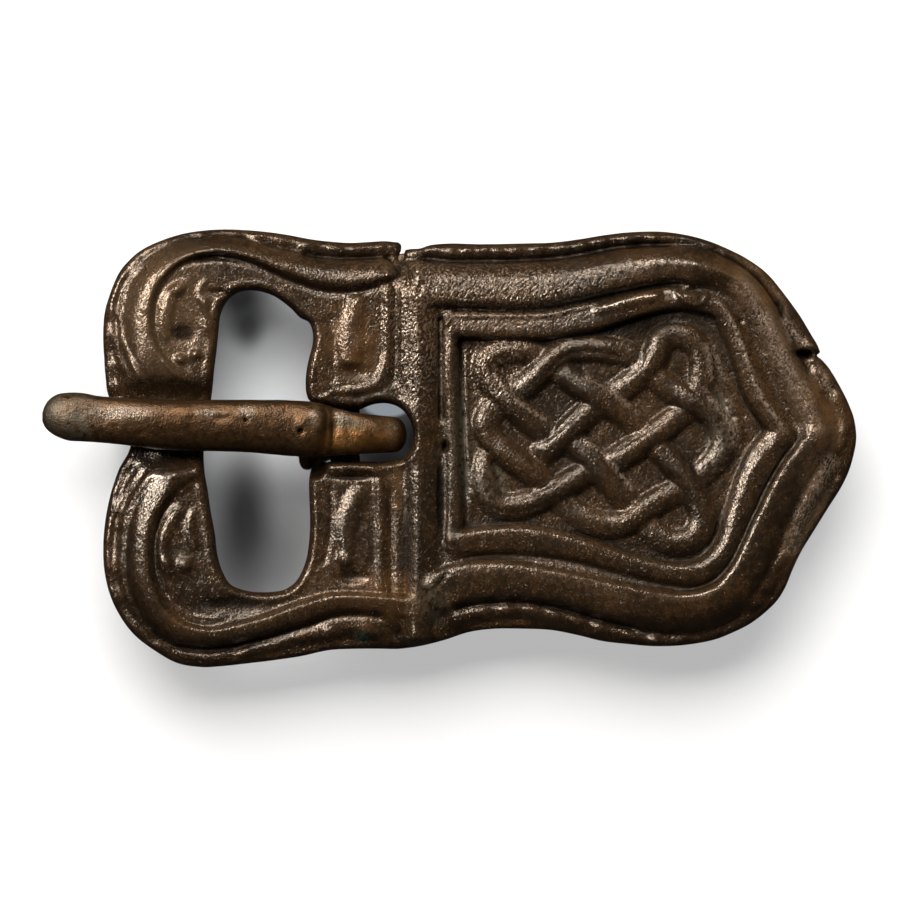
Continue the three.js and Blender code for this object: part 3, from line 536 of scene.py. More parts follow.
# Colours of the metals
NEAR_BLACK = (0.003, 0.0021, 0.0012)
DARK_BROWN = (0.012, 0.0068, 0.0032)
BROWN = (0.026, 0.0135, 0.0056)
WARM_BROWN = (0.046, 0.0215, 0.0078)
RUBBED_BROWN = (0.043, 0.0255, 0.0125)
LIGHT_BROWN = (0.068, 0.0395, 0.019)
# The light tan of painted highlights
PAINTED_HIGHLIGHT_TAN = (0.17, 0.125, 0.09)
ORANGE_BROWN = (0.085, 0.040, 0.0135)
TONGUE_DARK = (0.030, 0.0155, 0.006)
TONGUE_BROWN = (0.058, 0.0285, 0.0095)
TONGUE_ORANGE = (0.112, 0.05, 0.011)
GREY_EARTH = (0.042, 0.040, 0.027)
TIP_GREEN = (0.019, 0.0185, 0.0115)
COPPER_GREEN = (0.020, 0.055, 0.038)

# How far down a spot's own finish reaches, in millimetres
SPOT_DEPTH = 3

# Parts of the casting with a finish of their own: place, half width and half height in pixels
WARM_SPOTS = [((765, 280), 50, 40), ((350, 340), 50, 60), ((397, 490), 9, 40), ((385, 600), 50, 40),
              ((830, 400), 40, 60)]
# Painted highlights: places painted lighter brown where the metal should shine
PAINTED_HIGHLIGHT_SPOTS = [((160, 310), 80, 100), ((750, 282), 24, 34), ((777, 328), 22, 50), ((804, 385), 20, 56),
               ((830, 430), 20, 36), ((815, 500), 22, 60), ((797, 545), 18, 40)]
SPARKLE_SPOTS = [((470, 292), 190, 52), ((415, 330), 40, 110), ((495, 375), 50, 60)]
PLAIN_SPOTS = [((350, 402), 60, 16), ((640, 302), 90, 16), ((700, 265), 90, 24), ((700, 600), 110, 40),
               ((175, 400), 60, 26), ((175, 470), 60, 26), ((160, 610), 60, 50)]
# Painted shade: places painted darker and duller where shade falls
PAINTED_SHADE_SPOTS = [((184, 333), 24, 17), ((352, 378), 18, 9), ((205, 603), 34, 13), ((240, 601), 40, 12),
              ((412, 560), 26, 110), ((650, 330), 60, 18), ((470, 345), 30, 8), ((350, 478), 26, 5),
              ((440, 495), 8, 60)]
DEPOSIT_SPOTS = [((460, 440), 22, 80), ((490, 485), 24, 30), ((720, 430), 24, 60), ((430, 600), 30, 40)]
GREEN_SPOT = ((362, 637), 12, 9, 5)

# The same on the tongue, with the height of each place
# Painted highlights: places on the tongue painted light tan
TONGUE_PAINTED_HIGHLIGHT_SPOTS = [((391, 431), 12, 15, 5.8), ((247, 411), 14, 9, 7), ((316, 418), 8, 14, 7),
                ((125, 414), 40, 9, 7)]
# Painted shade: the pits painted near-black
PIT_PAINTED_SHADE_SPOTS = [((301, 431), 5.5, 5.5, 7), ((246, 420), 5, 4, 7)]
WORN_SPOTS = [((124, 414), 46, 13, 7), ((316, 418), 12, 20, 7), ((386, 430), 20, 20, 6.5),
              ((247, 413), 14, 11, 7), ((210, 414), 24, 8, 7), ((340, 416), 16, 10, 7)]
# Painted shade along the tongue's lower flank
TONGUE_PAINTED_SHADE = ((205, 455), 160, 20, 6)
TONGUE_TIP = ((40, 412), 62, 80, 6)
TONGUE_BASE = ((350, 426), 28, 13, 7)
TONGUE_WARMTH = ((350, 440), 90, 24, 6.5)

# How the cast grain leans and is drawn out
GRAIN_LEAN = math.radians(62)
GRAIN_STRETCH = (1.8, 1, 1)

# The floor, the backdrop and the camera, then the lamps: name, place, size, power, and whether each
# one gives the shine or fills in
FLOOR_HALF = 2000
DOME_RADIUS = 1900
CAMERA_HEIGHT = 800
PICTURE_PIXELS = 900
FACE_HEIGHT = 5.5
CLIP_NEAR = 0.01
CLIP_FAR = 10
WORLD_STRENGTH = 0.02
WHITE = (1, 1, 1, 1)
SHINE_COLOUR = (1, 0.865, 0.71)
FILL_COLOUR = (1, 0.98, 0.96)
SOFTBOXES = [
    ("key", (-310, 170, 360), (160, 120), 5.6, True),
    ("top", (-60, 330, 340), (120, 70), 2, True),
    ("fill", (-60, 330, 360), (520, 420), 9, False),
]

# The paper's greys, and the painted shade, painted shadows and painted patch of light inside the openings
BACKDROP_SHADE = (0, 0, 0, 1)
BACKDROP_GLOW = (0.8, 0.8, 0.8, 1)
PALE = (0.34, 0.343, 0.346)
GLOW = (0.46, 0.46, 0.46)
HOLE_PAINTED_SHADE_GREY = (0.46, 0.475, 0.49)
HOLE_PAINTED_SHADE_GLOW = (0.04, 0.04, 0.04)
PAINTED_SHADE_AREA = ((282, 447), 186, 222)
PAINTED_SHADE = (0.012, 0.012, 0.013)
# Painted shadows inside the opening: place, half sizes in pixels, and how dark
PAINTED_SHADOWS = [((243, 518), 40, 110, 0.97), ((256, 560), 130, 150, 0.85), ((238, 295), 62, 56, 1),
          ((246, 326), 24, 34, 0.8), ((385, 464), 60, 34, 1), ((413, 440), 20, 34, 1)]
# A painted patch of light in the slit above the hook
PAINTED_SLIT_LIGHT = ((387, 404), 28, 15)
PAINTED_SLIT_LIGHT_GREY = (0.26, 0.29, 0.32)


# Smooth lines and fields over the buckle
def between(low, high, at, first, second):
    """Two rows mixed, as a value goes from low to high."""
    return ((high - at) * first + (at - low) * second) / (high - low)


def curve_through(path, step):
    """Close rows along a centripetal curve through a path's rows, spaced by their first two numbers;
    the path's first and last rows only steer it."""
    made = []
    for four in zip(path, path[1:], path[2:], path[3:]):
        gaps = [max(math.hypot(*(after - before)[:2]), LEAST_GAP) ** 0.5
                for before, after in zip(four, four[1:])]
        knots = np.cumsum([0, *gaps])
        steps = max(2, math.ceil(gaps[1] ** 2 / step))
        at = np.linspace(knots[1], knots[2], steps, endpoint=False)[:, None]
        once = [between(knots[i], knots[i + 1], at, four[i], four[i + 1]) for i in range(3)]
        twice = [between(knots[i], knots[i + 2], at, once[i], once[i + 1]) for i in range(2)]
        made.append(between(knots[1], knots[2], at, *twice))
    return np.vstack(made)


def open_curve(rows, step):
    """A curve through rows, from the first to the last."""
    path = np.vstack([2 * rows[:1] - rows[1:2], rows, 2 * rows[-1:] - rows[-2:-1]])
    return np.vstack([curve_through(path, step), rows[-1:]])


def smooth_line(rows, closed=False):
    """A curve on the buckle whose rows start with a place in pixels."""
    rows = np.array(rows, float)
    rows[:, :2] = place(rows[:, :2])
    if closed:
        return curve_through(np.vstack([rows[-1:], rows, rows[:2]]), LINE_STEP)
    return open_curve(rows, LINE_STEP)


def soft_step(values):
    """0 below 0, 1 above 1, and smooth between."""
    values = np.clip(values, 0, 1)
    return values * values * (3 - 2 * values)


def soft_max(first, second, width):
    """The higher of two surfaces, with a fillet of a width where they meet."""
    near = np.clip(width - np.abs(first - second), 0, None) / max(width, 1e-6)
    return np.maximum(first, second) + near * near * width / 4


def soft_min(first, second, width):
    """The lower of two surfaces, with a fillet of a width where they meet."""
    return -soft_max(-first, -second, width)


def cloud(points, size, seed):
    """Smooth values from -1 to 1 whose bumps are a size apart, the same in each run."""
    lattice = np.random.default_rng(seed).uniform(-1, 1, (CLOUD_CELLS + 1, CLOUD_CELLS + 1))
    turned = points @ CLOUD_TURN / size + CLOUD_SHIFT
    cell = np.floor(turned).astype(int)
    part = turned - cell
    part = part * part * (3 - 2 * part)
    across, up = cell[:, 0] % CLOUD_CELLS, cell[:, 1] % CLOUD_CELLS
    low = between(0, 1, part[:, 0], lattice[across, up], lattice[across + 1, up])
    high = between(0, 1, part[:, 0], lattice[across, up + 1], lattice[across + 1, up + 1])
    return between(0, 1, part[:, 1], low, high)


def near_line(line, points, reach, closed=False):
    """The points within reach of a line: their numbers, their distance to its left, how far they lie
    past its ends, how far along they are, and the line's own row there."""
    low, high = line[:, :2].min(0) - reach, line[:, :2].max(0) + reach
    found = np.flatnonzero(((points > low) & (points < high)).all(1))
    ahead = np.roll(line[:, :2], -1, 0) - np.roll(line[:, :2], 1, 0)
    if not closed:
        ahead[0] = line[1, :2] - line[0, :2]
        ahead[-1] = line[-1, :2] - line[-2, :2]
    ahead /= np.maximum(np.linalg.norm(ahead, axis=1), 1e-9)[:, None]
    lengths = (line[:, :2] ** 2).sum(1)
    nearest = np.empty(len(found), int)
    blocks = max(1, len(found) * len(line) // DISTANCES_AT_ONCE)
    for block in np.array_split(np.arange(len(found)), blocks):
        nearest[block] = (lengths - 2 * points[found[block]] @ line[:, :2].T).argmin(1)
    apart = points[found] - line[nearest, :2]
    way = ahead[nearest]
    side = way[:, 0] * apart[:, 1] - way[:, 1] * apart[:, 0]
    past = np.abs((way * apart).sum(1))
    if closed:
        past[:] = 0
    else:
        past[(nearest > 0) & (nearest < len(line) - 1)] = 0
    close = np.hypot(side, past) < reach
    share = nearest[close] / (len(line) - 1)
    return found[close], side[close], past[close], share, line[nearest[close]]


def inside_loop(loop, xs, ys):
    """Which crossings of a raster's columns and rows lie inside a loop of points."""
    start, end = loop, np.roll(loop, -1, 0)
    made = np.zeros((len(ys), len(xs)), bool)
    for row, level in enumerate(ys):
        over = (start[:, 1] > level) != (end[:, 1] > level)
        first, second = start[over], end[over]
        way = second - first
        cuts = first[:, 0] + (level - first[:, 1]) / way[:, 1] * way[:, 0]
        made[row] = np.searchsorted(np.sort(cuts), xs) % 2 == 1
    return made


class Raster:
    """Fields over the whole buckle on an even raster."""

    def __init__(self):
        low, high = casting_low[:2] - RASTER_MARGIN, casting_high[:2] + RASTER_MARGIN
        self.low = low
        self.xs = np.arange(low[0], high[0], RASTER_STEP)
        self.ys = np.arange(low[1], high[1], RASTER_STEP)
        across, up = np.meshgrid(self.xs, self.ys)
        self.points = np.stack([across.ravel(), up.ravel()], 1)
        self.shape = across.shape

    def read(self, field, points):
        """A field's values at points."""
        cell = (points - self.low) / RASTER_STEP
        limit = np.array([self.shape[1] - JUST_INSIDE, self.shape[0] - JUST_INSIDE])
        cell = np.clip(cell, 0, limit)
        base = np.floor(cell).astype(int)
        part = cell - base
        field = field.reshape(self.shape)
        across, up = base[:, 0], base[:, 1]
        low = between(0, 1, part[:, 0], field[up, across], field[up, across + 1])
        high = between(0, 1, part[:, 0], field[up + 1, across], field[up + 1, across + 1])
        return between(0, 1, part[:, 1], low, high)

    def smooth(self, field, radius):
        """A field blurred over a radius, by three passes of a box."""
        field = field.reshape(self.shape).copy()
        half = max(1, round(radius / RASTER_STEP / BLUR_SHARE))
        for _ in range(BLUR_PASSES):
            for axis in (0, 1):
                margins = [(half + 1, half) if side == axis else (0, 0) for side in (0, 1)]
                padded = np.pad(field, margins, "edge")
                total = padded.cumsum(axis)
                size = 2 * half + 1
                field = (np.take(total, range(size, total.shape[axis]), axis)
                         - np.take(total, range(total.shape[axis] - size), axis)) / size
        return field.ravel()

    def distance(self, loop):
        """How far inside a loop each point lies, negative outside it and exact near the loop."""
        apart = np.full(len(self.points), EDGE_REACH)
        index, side, _, _, _ = near_line(loop, self.points, EDGE_REACH, closed=True)
        apart[index] = np.abs(side)
        return np.where(inside_loop(loop[:, :2], self.xs, self.ys).ravel(), apart, -apart)


raster = Raster()
outline = np.vstack([smooth_line(stretch)[:-1] for stretch in OUTLINE])
opening = smooth_line(OPENING, closed=True)
from_edge = raster.distance(outline)
from_opening = -raster.distance(opening)
in_metal = np.minimum(from_edge, from_opening)
frame_line = smooth_line([row[:2] for row in FRAME + FRAME_LEFT], closed=True)
frame_inside = raster.distance(frame_line)


# The relief of the face
def raise_ridge(height, rows, crest, left_side, right_side, round_end=LOOP_END, facet=FACET):
    """Raises a surface to a ridge's crest. Its rows give the widths to its left and right, how far the
    crest leans to the right, and how much its right side turns into a facet; its sides are profiles."""
    rows = [(*row, 0, 0)[:6] for row in rows]
    line = smooth_line(rows)
    reach = max(row[2] + row[3] for row in rows) * PIXEL
    index, side, past, _, row = near_line(line, raster.points, reach)
    side += row[:, 4] * PIXEL
    left = side > 0
    half = np.where(left, row[:, 2] + row[:, 4], row[:, 3] - row[:, 4]) * PIXEL
    spread, fall = (
        np.where(left, outer, inner + (flat - inner) * row[:, 5])
        for outer, inner, flat in zip(left_side, right_side, facet))
    away = np.hypot(side / half, past / round_end)
    rise = (1 - np.clip(away, 0, 1) ** spread) ** fall
    height[index] += np.maximum(crest - height[index], 0) * rise


def raise_thin(height, rows, rise):
    """Adds a narrow ridge to a surface; its ends fade."""
    line = smooth_line(rows)
    reach = max(row[2] for row in rows) * PIXEL
    index, side, past, share, row = near_line(line, raster.points, reach)
    away = np.clip(np.hypot(side, past) / (row[:, 2] * PIXEL), 0, 1)
    rise = np.minimum(rise, STEEPEST * row[:, 2] * PIXEL)
    fade = soft_step(np.minimum(share, 1 - share) / THIN_FADE)
    height[index] += rise * fade * (1 - away ** 2) ** THIN_FALL


def score(height, rise, half_pixels, line_pixels, points=raster.points):
    """Cuts or raises a fine line, as its rise is below or above nought."""
    line = smooth_line(line_pixels)
    half = half_pixels * PIXEL
    index, side, past, share, _ = near_line(line, points, half * SCORE_REACH)
    fade = soft_step(np.minimum(share, 1 - share) / SCORE_FADE)
    height[index] += rise * fade * np.exp(-(np.hypot(side, past) / half) ** 2)


def lump(height, across, up, half_across, half_up, rise, points=raster.points):
    """A round lump or hollow."""
    apart = (points - place((across, up))) / (np.array([half_across, half_up]) * PIXEL)
    height += rise * np.exp(-(apart ** 2).sum(1) ** LUMP_FALL)


def knot_strand(rows):
    """One strand's surface over the whole raster."""
    line = smooth_line(rows, closed=True)
    half = STRAND_HALF_PIXELS * PIXEL
    index, side, _, _, row = near_line(line, raster.points, half * STRAND_REACH, closed=True)
    away = np.abs(side) / half
    crest = STRAND_CREST + STRAND_LIFT * row[:, 2]
    rise = (1 - np.clip(away, 0, 1) ** STRAND_ROUNDNESS) ** (1 / STRAND_ROUNDNESS)
    made = np.full(len(raster.points), STRAND_FOOT - 1)
    made[index] = np.where(away < 1, STRAND_FOOT + (crest - STRAND_FOOT) * rise, STRAND_FOOT - 1)
    return made


def face_relief():
    """The face's height everywhere, before its edges are rounded."""
    height = RIM + (FIELD - RIM) * soft_step((from_edge - RIM_START) / RIM_SLOPE)
    for rise, rows in RIM_LINES:
        raise_thin(height, rows, rise)
    for x, y, half in BEADS:
        lump(height, x, y, half, half, BEAD_RISE)
    raise_ridge(height, UPPER_LOOP_BAND, LOOP_CREST, STRAIGHT, GENTLE)
    raise_ridge(height, LOWER_LOOP_BAND, LOOP_CREST, GENTLE, GENTLE)
    height += (KNOT_FLOOR - height) * soft_step((frame_inside + PANEL_START) / PANEL_SLOPE)
    raise_ridge(height, FRAME, FRAME_CREST, STRAIGHT, WALL, FRAME_END)
    raise_ridge(height, FRAME_LEFT, FRAME_LEFT_CREST, ROUND, ROUND, FRAME_END)
    raise_ridge(height, PLATE_BAND, BAND_CREST, SLOPE, WALL, BAND_END, HOLLOWED)
    raise_ridge(height, LEFT_BAND, LEFT_BAND_CREST, GENTLE, GENTLE, BAND_END)
    for rise, rows in THIN_RIDGES:
        raise_thin(height, rows, rise)
    for rows in KNOT:
        height = soft_max(height, knot_strand(rows), STRAND_FILLET)
    for rise, half, line in FINE_LINES + KNOT_LINES:
        score(height, rise, half, line)
    for row in LUMPS:
        lump(height, *row)
    lip = np.exp(-((from_opening - LIP_PLACE) / LIP_WIDTH) ** 2)
    return height + LIP_RISE * lip


def edge_drop(distance, radius):
    """How far a quarter-round edge has fallen, at a distance inside it."""
    near = np.clip(1 - distance / radius, 0, 1)
    return radius * (1 - np.sqrt(1 - near * near))


def saddle_height(points):
    """The smooth seat that the tongue's tip crosses at the loop's front."""
    apart = np.abs(points[:, 1] - place((0, SADDLE_MIDDLE_PIXEL))[1]) - SADDLE_HALF_PIXELS * PIXEL
    rise = np.clip(apart / SADDLE_SLOPE, 0, None) ** 2
    return np.where(points[:, 0] < place((SADDLE_END_PIXEL, 0))[0], SADDLE + rise, CLEAR_OF_FACE)


def hook_rest_height(points):
    """The low corner that the hook's end lies against."""
    low, high = place(HOOK_REST_PIXELS[0]), place(HOOK_REST_PIXELS[1])
    apart = np.maximum(np.maximum(low - points, points - high), 0)
    return HOOK_REST + (np.hypot(apart[:, 0], apart[:, 1]) / HOOK_REST_SLOPE) ** HOOK_REST_CURVE


def painted_highlight_lines():
    """How much painted highlight each place gets from the lines."""
    wear_and_painted_highlight = np.zeros(len(raster.points))
    for share, half, line in PAINTED_HIGHLIGHT_LINES:
        score(wear_and_painted_highlight, share, half, line)
    return wear_and_painted_highlight


def finish_face(height):
    """Cuts the seats for the tongue's tip and its hook, and adds the cast surface's unevenness."""
    points = raster.points
    height = soft_min(height, saddle_height(points), SADDLE_FILLET)
    height = soft_min(height, hook_rest_height(points), HOOK_REST_FILLET)
    rim = soft_step((RIM_UNEVEN_TO - from_edge) / RIM_UNEVEN_FADE)
    rise, size, seed = RIM_UNEVENNESS
    height += rise * rim * cloud(points, size, seed)
    for rise, size, seed in CAST_UNEVENNESS:
        height += rise * cloud(points, size, seed)
    return height


def back_height(points, edge):
    """The back's height: a rim, and the hollow behind the plate."""
    hollow = soft_step((edge - BACK_RIM) / POCKET_SLOPE)
    hollow *= soft_step((points[:, 0] - place((POCKET_START_PIXEL, 0))[0]) / POCKET_SLOPE)
    return BACK + (POCKET - BACK) * hollow


# Meshes
def new_mesh(shape, name):
    """A bmesh as a mesh in metres, whose faces point outwards."""
    bmesh.ops.recalc_face_normals(shape, faces=shape.faces[:])
    bmesh.ops.scale(shape, vec=(MM, MM, MM), verts=shape.verts[:])
    mesh = bpy.data.meshes.new(name)
    shape.to_mesh(mesh)
    shape.free()
    return mesh


def piece(name, mesh, body, material):
    """An object made of a mesh, smooth, riding on a body and finished in a slot's material."""
    made = bpy.data.objects.new(name, mesh)
    bpy.context.scene.collection.objects.link(made)
    mesh.materials.append(material)
    mesh.polygons.foreach_set("use_smooth", [True] * len(mesh.polygons))
    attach(made, body)
    return made


def apply_modifier(thing, kind, **settings):
    """Adds a modifier and applies it to the mesh."""
    modifier = thing.modifiers.new(kind.title(), kind)
    for name, value in settings.items():
        setattr(modifier, name, value)
    graph = bpy.context.evaluated_depsgraph_get()
    mesh = bpy.data.meshes.new_from_object(
        thing.evaluated_get(graph), preserve_all_data_layers=True, depsgraph=graph)
    thing.modifiers.clear()
    old = thing.data
    thing.data = mesh
    mesh.name = old.name
    bpy.data.meshes.remove(old)


def corners_of(mesh):
    """A mesh's vertices in millimetres."""
    flat = np.empty(len(mesh.vertices) * 3)
    mesh.vertices.foreach_get("co", flat)
    return flat.reshape(-1, 3) / MM


def move_corners(mesh, corners):
    """Puts a mesh's vertices at places in millimetres."""
    mesh.vertices.foreach_set("co", (corners * MM).ravel())
    mesh.update()


def add_values(mesh, name, values):
    """A value for each vertex, for the material to read."""
    layer = mesh.attributes.new(name, "FLOAT", "POINT")
    layer.data.foreach_set("value", np.asarray(values, np.float32))


def snap_to_edge(points):
    """Points moved on to the metal's edge."""
    for _ in range(SNAPS):
        across, up = np.array([(RASTER_STEP, 0), (0, RASTER_STEP)])
        slope = np.stack([
            raster.read(in_metal, points + way) - raster.read(in_metal, points - way) for way in (across, up)
        ], 1) / (2 * RASTER_STEP)
        steepness = np.maximum((slope ** 2).sum(1), LEAST_STEEPNESS)
        points = points - slope * (raster.read(in_metal, points) / steepness)[:, None]
    return points


def places_of(verts):
    """A bmesh's vertices as places seen from above."""
    return np.array([vert.co[:2] for vert in verts]).reshape(-1, 2)


def casting_sheet():
    """A flat sheet of the casting's outline and opening."""
    low, high = casting_low[:2] - MESH_STEP, casting_high[:2] + MESH_STEP
    columns, rows = np.ceil((high - low) / MESH_STEP).astype(int)
    sheet = bmesh.new()
    bmesh.ops.create_grid(
        sheet, x_segments=int(columns), y_segments=int(rows), size=1,
        matrix=Matrix.Translation((*((low + high) / 2), 0)) @ Matrix.Diagonal((*((high - low) / 2), 1, 1)))
    metal = raster.read(in_metal, places_of(sheet.verts))
    loose = [vert for vert, inner in zip(sheet.verts, metal) if inner < LOOSE_SHARE * MESH_STEP]
    while loose:
        bmesh.ops.delete(sheet, geom=loose, context="VERTS")
        loose = [vert for vert in sheet.verts
                 if not vert.link_faces or sum(edge.is_boundary for edge in vert.link_edges) > 2]
    border = [vert for vert in sheet.verts if vert.is_boundary]
    metal = raster.read(in_metal, places_of(sheet.verts))
    near = [vert for vert, depth in zip(sheet.verts, metal) if depth < NEAR_STEPS * MESH_STEP]
    for turn in range(SMOOTHINGS + 1):
        for vert, (x, y) in zip(border, snap_to_edge(places_of(border))):
            vert.co.x, vert.co.y = x, y
        if turn < SMOOTHINGS:
            bmesh.ops.smooth_vert(sheet, verts=near, factor=SMOOTHING_SHARE, use_axis_x=True,
                                  use_axis_y=True)
    return sheet


def thicken(sheet):
    """Gives a flat sheet a back one unit below it, and walls cut into rings."""
    made = bmesh.ops.extrude_face_region(sheet, geom=sheet.faces[:])
    raised = [item for item in made["geom"] if isinstance(item, bmesh.types.BMVert)]
    bmesh.ops.translate(sheet, verts=raised, vec=(0, 0, 1))
    walls = [edge for edge in sheet.edges if abs(edge.verts[0].co.z - edge.verts[1].co.z) > 0.5]
    bmesh.ops.subdivide_edges(sheet, edges=walls, cuts=WALL_CUTS, use_grid_fill=True)


def casting():
    """The loop and plate, with their relief, rounded edges and hollow back."""
    sheet = casting_sheet()
    thicken(sheet)
    mesh = new_mesh(sheet, "loop_and_plate_casting")
    corners = corners_of(mesh)
    points, level = corners[:, :2], corners[:, 2].copy()
    edge, hole = raster.read(from_edge, points), raster.read(from_opening, points)
    top = raster.read(face, points) - edge_drop(edge, EDGE_ROUND) - edge_drop(hole, OPENING_ROUND)
    back = back_height(points, edge) + edge_drop(edge, BACK_ROUND) + edge_drop(hole, BACK_ROUND)
    back += sum(rise * (1 + cloud(points, size, seed)) for rise, size, seed in BACK_UNEVENNESS)
    corners[:, 2] = back + (top - back) * level
    # The crests, the hollows and the lines of painted highlight, for the material to read
    for name, field in (("crest", crests), ("depth", hollows), ("wear_and_painted_highlight", painted_highlights)):
        add_values(mesh, name, np.where(level > FRONT_LEVEL, raster.read(field, points), 0))
    move_corners(mesh, corners)
    made = piece("loop_and_plate_casting", mesh, "frame_body", cast_bronze)
    triangles = sum(len(side.vertices) - 2 for side in mesh.polygons)
    if triangles > MOST_TRIANGLES:
        behind = made.vertex_groups.new(name="behind")
        behind.add(np.flatnonzero(level < BEHIND_LEVEL).tolist(), 1, "REPLACE")
        apply_modifier(made, "DECIMATE", ratio=MOST_TRIANGLES / triangles, vertex_group="behind",
                       vertex_group_factor=BEHIND_WEIGHT)
        made.vertex_groups.clear()
    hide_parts("loop_and_plate")


# The bar, the studs and the roves
def bar():
    """The bar across the slot, worn thinner where the hook turns on it."""
    shape = bmesh.new()
    bmesh.ops.create_circle(shape, segments=BAR_SIDES, radius=1,
                            matrix=Matrix.Rotation(math.pi / 2, 4, "X"))
    ring = shape.edges[:]
    start, end = (place((BAR_PIXEL, pixel))[1] for pixel in BAR_END_PIXELS)
    length = start - end + 2 * BAR_EMBED
    for _ in range(BAR_RINGS):
        made = bmesh.ops.extrude_edge_only(shape, edges=ring)["geom"]
        ring = [item for item in made if isinstance(item, bmesh.types.BMEdge)
                and all(len(vert.link_faces) <= 2 for vert in item.verts)]
        verts = [item for item in made if isinstance(item, bmesh.types.BMVert)]
        bmesh.ops.translate(shape, verts=verts, vec=(0, -length / BAR_RINGS, 0))
    bmesh.ops.holes_fill(shape, edges=shape.edges[:])
    across = place((BAR_PIXEL, 0))[0]
    for vert in shape.verts:
        from_middle = 2 * (vert.co.y + length / 2) / length
        wear_and_painted_highlight = 1 - BAR_WEAR * math.exp(-from_middle ** 2 * BAR_WEAR_NARROWNESS)
        vert.co.x = across + vert.co.x * BAR_WIDTH / 2 * wear_and_painted_highlight
        vert.co.z = BAR_HEIGHT + vert.co.z * BAR_THICKNESS / 2 * wear_and_painted_highlight
        vert.co.y += start + BAR_EMBED
    piece("bar", new_mesh(shape, "bar"), "frame_body", cast_bronze)


def own_cloud(points, number, shift, size, seed):
    """Unevenness that is a numbered stud's or rove's own."""
    return cloud(points + number * shift, size, seed)


def spun(profile, sides):
    """A closed ring or solid turned about the upright axis from a profile of radii and heights."""
    shape = bmesh.new()
    verts = [bmesh.ops.create_vert(shape, co=(radius, 0, height))["vert"][0] for radius, height in profile]
    edges = [shape.edges.new(pair) for pair in zip(verts, verts[1:])]
    bmesh.ops.spin(shape, geom=verts + edges, cent=(0, 0, 0), axis=(0, 0, 1), angle=math.tau,
                   steps=sides, use_merge=True)
    bmesh.ops.remove_doubles(shape, verts=shape.verts[:], dist=MERGE_DISTANCE)
    return shape


def stud(number, pixels):
    """A rivet stud cast on to the plate's back, with its hammered head."""
    shape = spun(STUD_PROFILE, STUD_SIDES)
    flat = places_of(shape.verts)
    dents = own_cloud(flat, number, *STUD_DENTS)
    spread = own_cloud(flat / 2, number, *STUD_SPREAD)
    for vert, dent, wide in zip(shape.verts, dents, spread):
        if vert.co.z < HEAD_TOP:
            vert.co.x *= 1 - STUD_SPREAD_SHARE * (1 + wide)
            vert.co.y *= 1 - STUD_SPREAD_SHARE * (1 + wide)
            vert.co.z += STUD_DENT_DEPTH * (1 + dent) * (HEAD_TOP - vert.co.z) / HEAD_TOP
    lowest = min(vert.co.z for vert in shape.verts)
    for vert in shape.verts:
        if vert.co.z < HEAD_TOP:
            vert.co.z -= lowest * (HEAD_TOP - vert.co.z) / HEAD_TOP
    bmesh.ops.translate(shape, verts=shape.verts[:], vec=(*place(pixels), 0))
    name = f"stud_{number}"
    piece(name, new_mesh(shape, name), "frame_body", cast_bronze)


def rove(number, pixels, turn):
    """A square rove under a stud's head, its corners worn and its face hammered."""
    shape = spun(ROVE_PROFILE + ROVE_PROFILE[:1], ROVE_SIDES)
    for vert in shape.verts:
        reach = math.hypot(vert.co.x, vert.co.y)
        angle = math.atan2(vert.co.y, vert.co.x)
        square = ROVE_SIDE / 2 / (
            abs(math.cos(angle)) ** ROVE_SQUARENESS + abs(math.sin(angle)) ** ROVE_SQUARENESS
        ) ** (1 / ROVE_SQUARENESS)
        share = (reach - ROVE_HOLE) / (ROVE_SIDE / 2 - ROVE_HOLE)
        wanted = ROVE_HOLE + share * (square - ROVE_HOLE)
        vert.co.x *= wanted / reach
        vert.co.y *= wanted / reach
    flat = places_of(shape.verts)
    wear_and_painted_highlight = own_cloud(flat, number, *ROVE_WEAR)
    dents = own_cloud(flat, number, *ROVE_DENTS)
    for vert, wear, dent in zip(shape.verts, wear_and_painted_highlight, dents):
        vert.co.x *= 1 - ROVE_WEAR_SHARE * (1 + wear)
        vert.co.y *= 1 - ROVE_WEAR_SHARE * (1 + wear)
        vert.co.z = ROVE_MIDDLE + (vert.co.z - ROVE_MIDDLE) * (1 - ROVE_DENT_SHARE * (1 + dent))
    bmesh.ops.rotate(shape, verts=shape.verts[:], cent=(0, 0, 0),
                     matrix=Matrix.Rotation(math.radians(turn), 3, "Z"))
    bmesh.ops.translate(shape, verts=shape.verts[:], vec=(*place(pixels), 0))
    name = f"rove_{number}"
    made = piece(f"{name}_plate", new_mesh(shape, name), "frame_body", rove_bronze)
    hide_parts(name)


# The tongue
def tongue_stations():
    """Rows from the tip to the hook's end: place along, height, thickness, upper and lower side."""
    pivot = place((BAR_PIXEL, 0))[0]
    shank = [
        (place((pixel, 0))[0], BAR_HEIGHT + (TONGUE_HEIGHT - BAR_HEIGHT) * level, TONGUE_THICKNESS * thick,
         place((0, upper))[1], place((0, lower))[1])
        for pixel, upper, lower, level, thick in TONGUE_SHANK
    ]
    hook = [
        (pivot + HOOK_REACH * reach * math.cos(math.radians(angle)),
         BAR_HEIGHT + HOOK_REACH * reach * math.sin(math.radians(angle)), HOOK_THICKNESS * thick,
         place((0, upper))[1], place((0, lower))[1])
        for angle, reach, thick, upper, lower in TONGUE_HOOK
    ]
    return open_curve(np.array(shank + hook), TONGUE_STEP)


def tongue_marks(points):
    """The collar, pits and dents on the tongue's upper side."""
    marks = sum(rise * cloud(points, size, seed) for rise, size, seed in TONGUE_UNEVENNESS)
    for row in TONGUE_LUMPS:
        lump(marks, *row, points)
    for rise, half, line in TONGUE_LINES:
        score(marks, rise, half, line, points)
    return marks


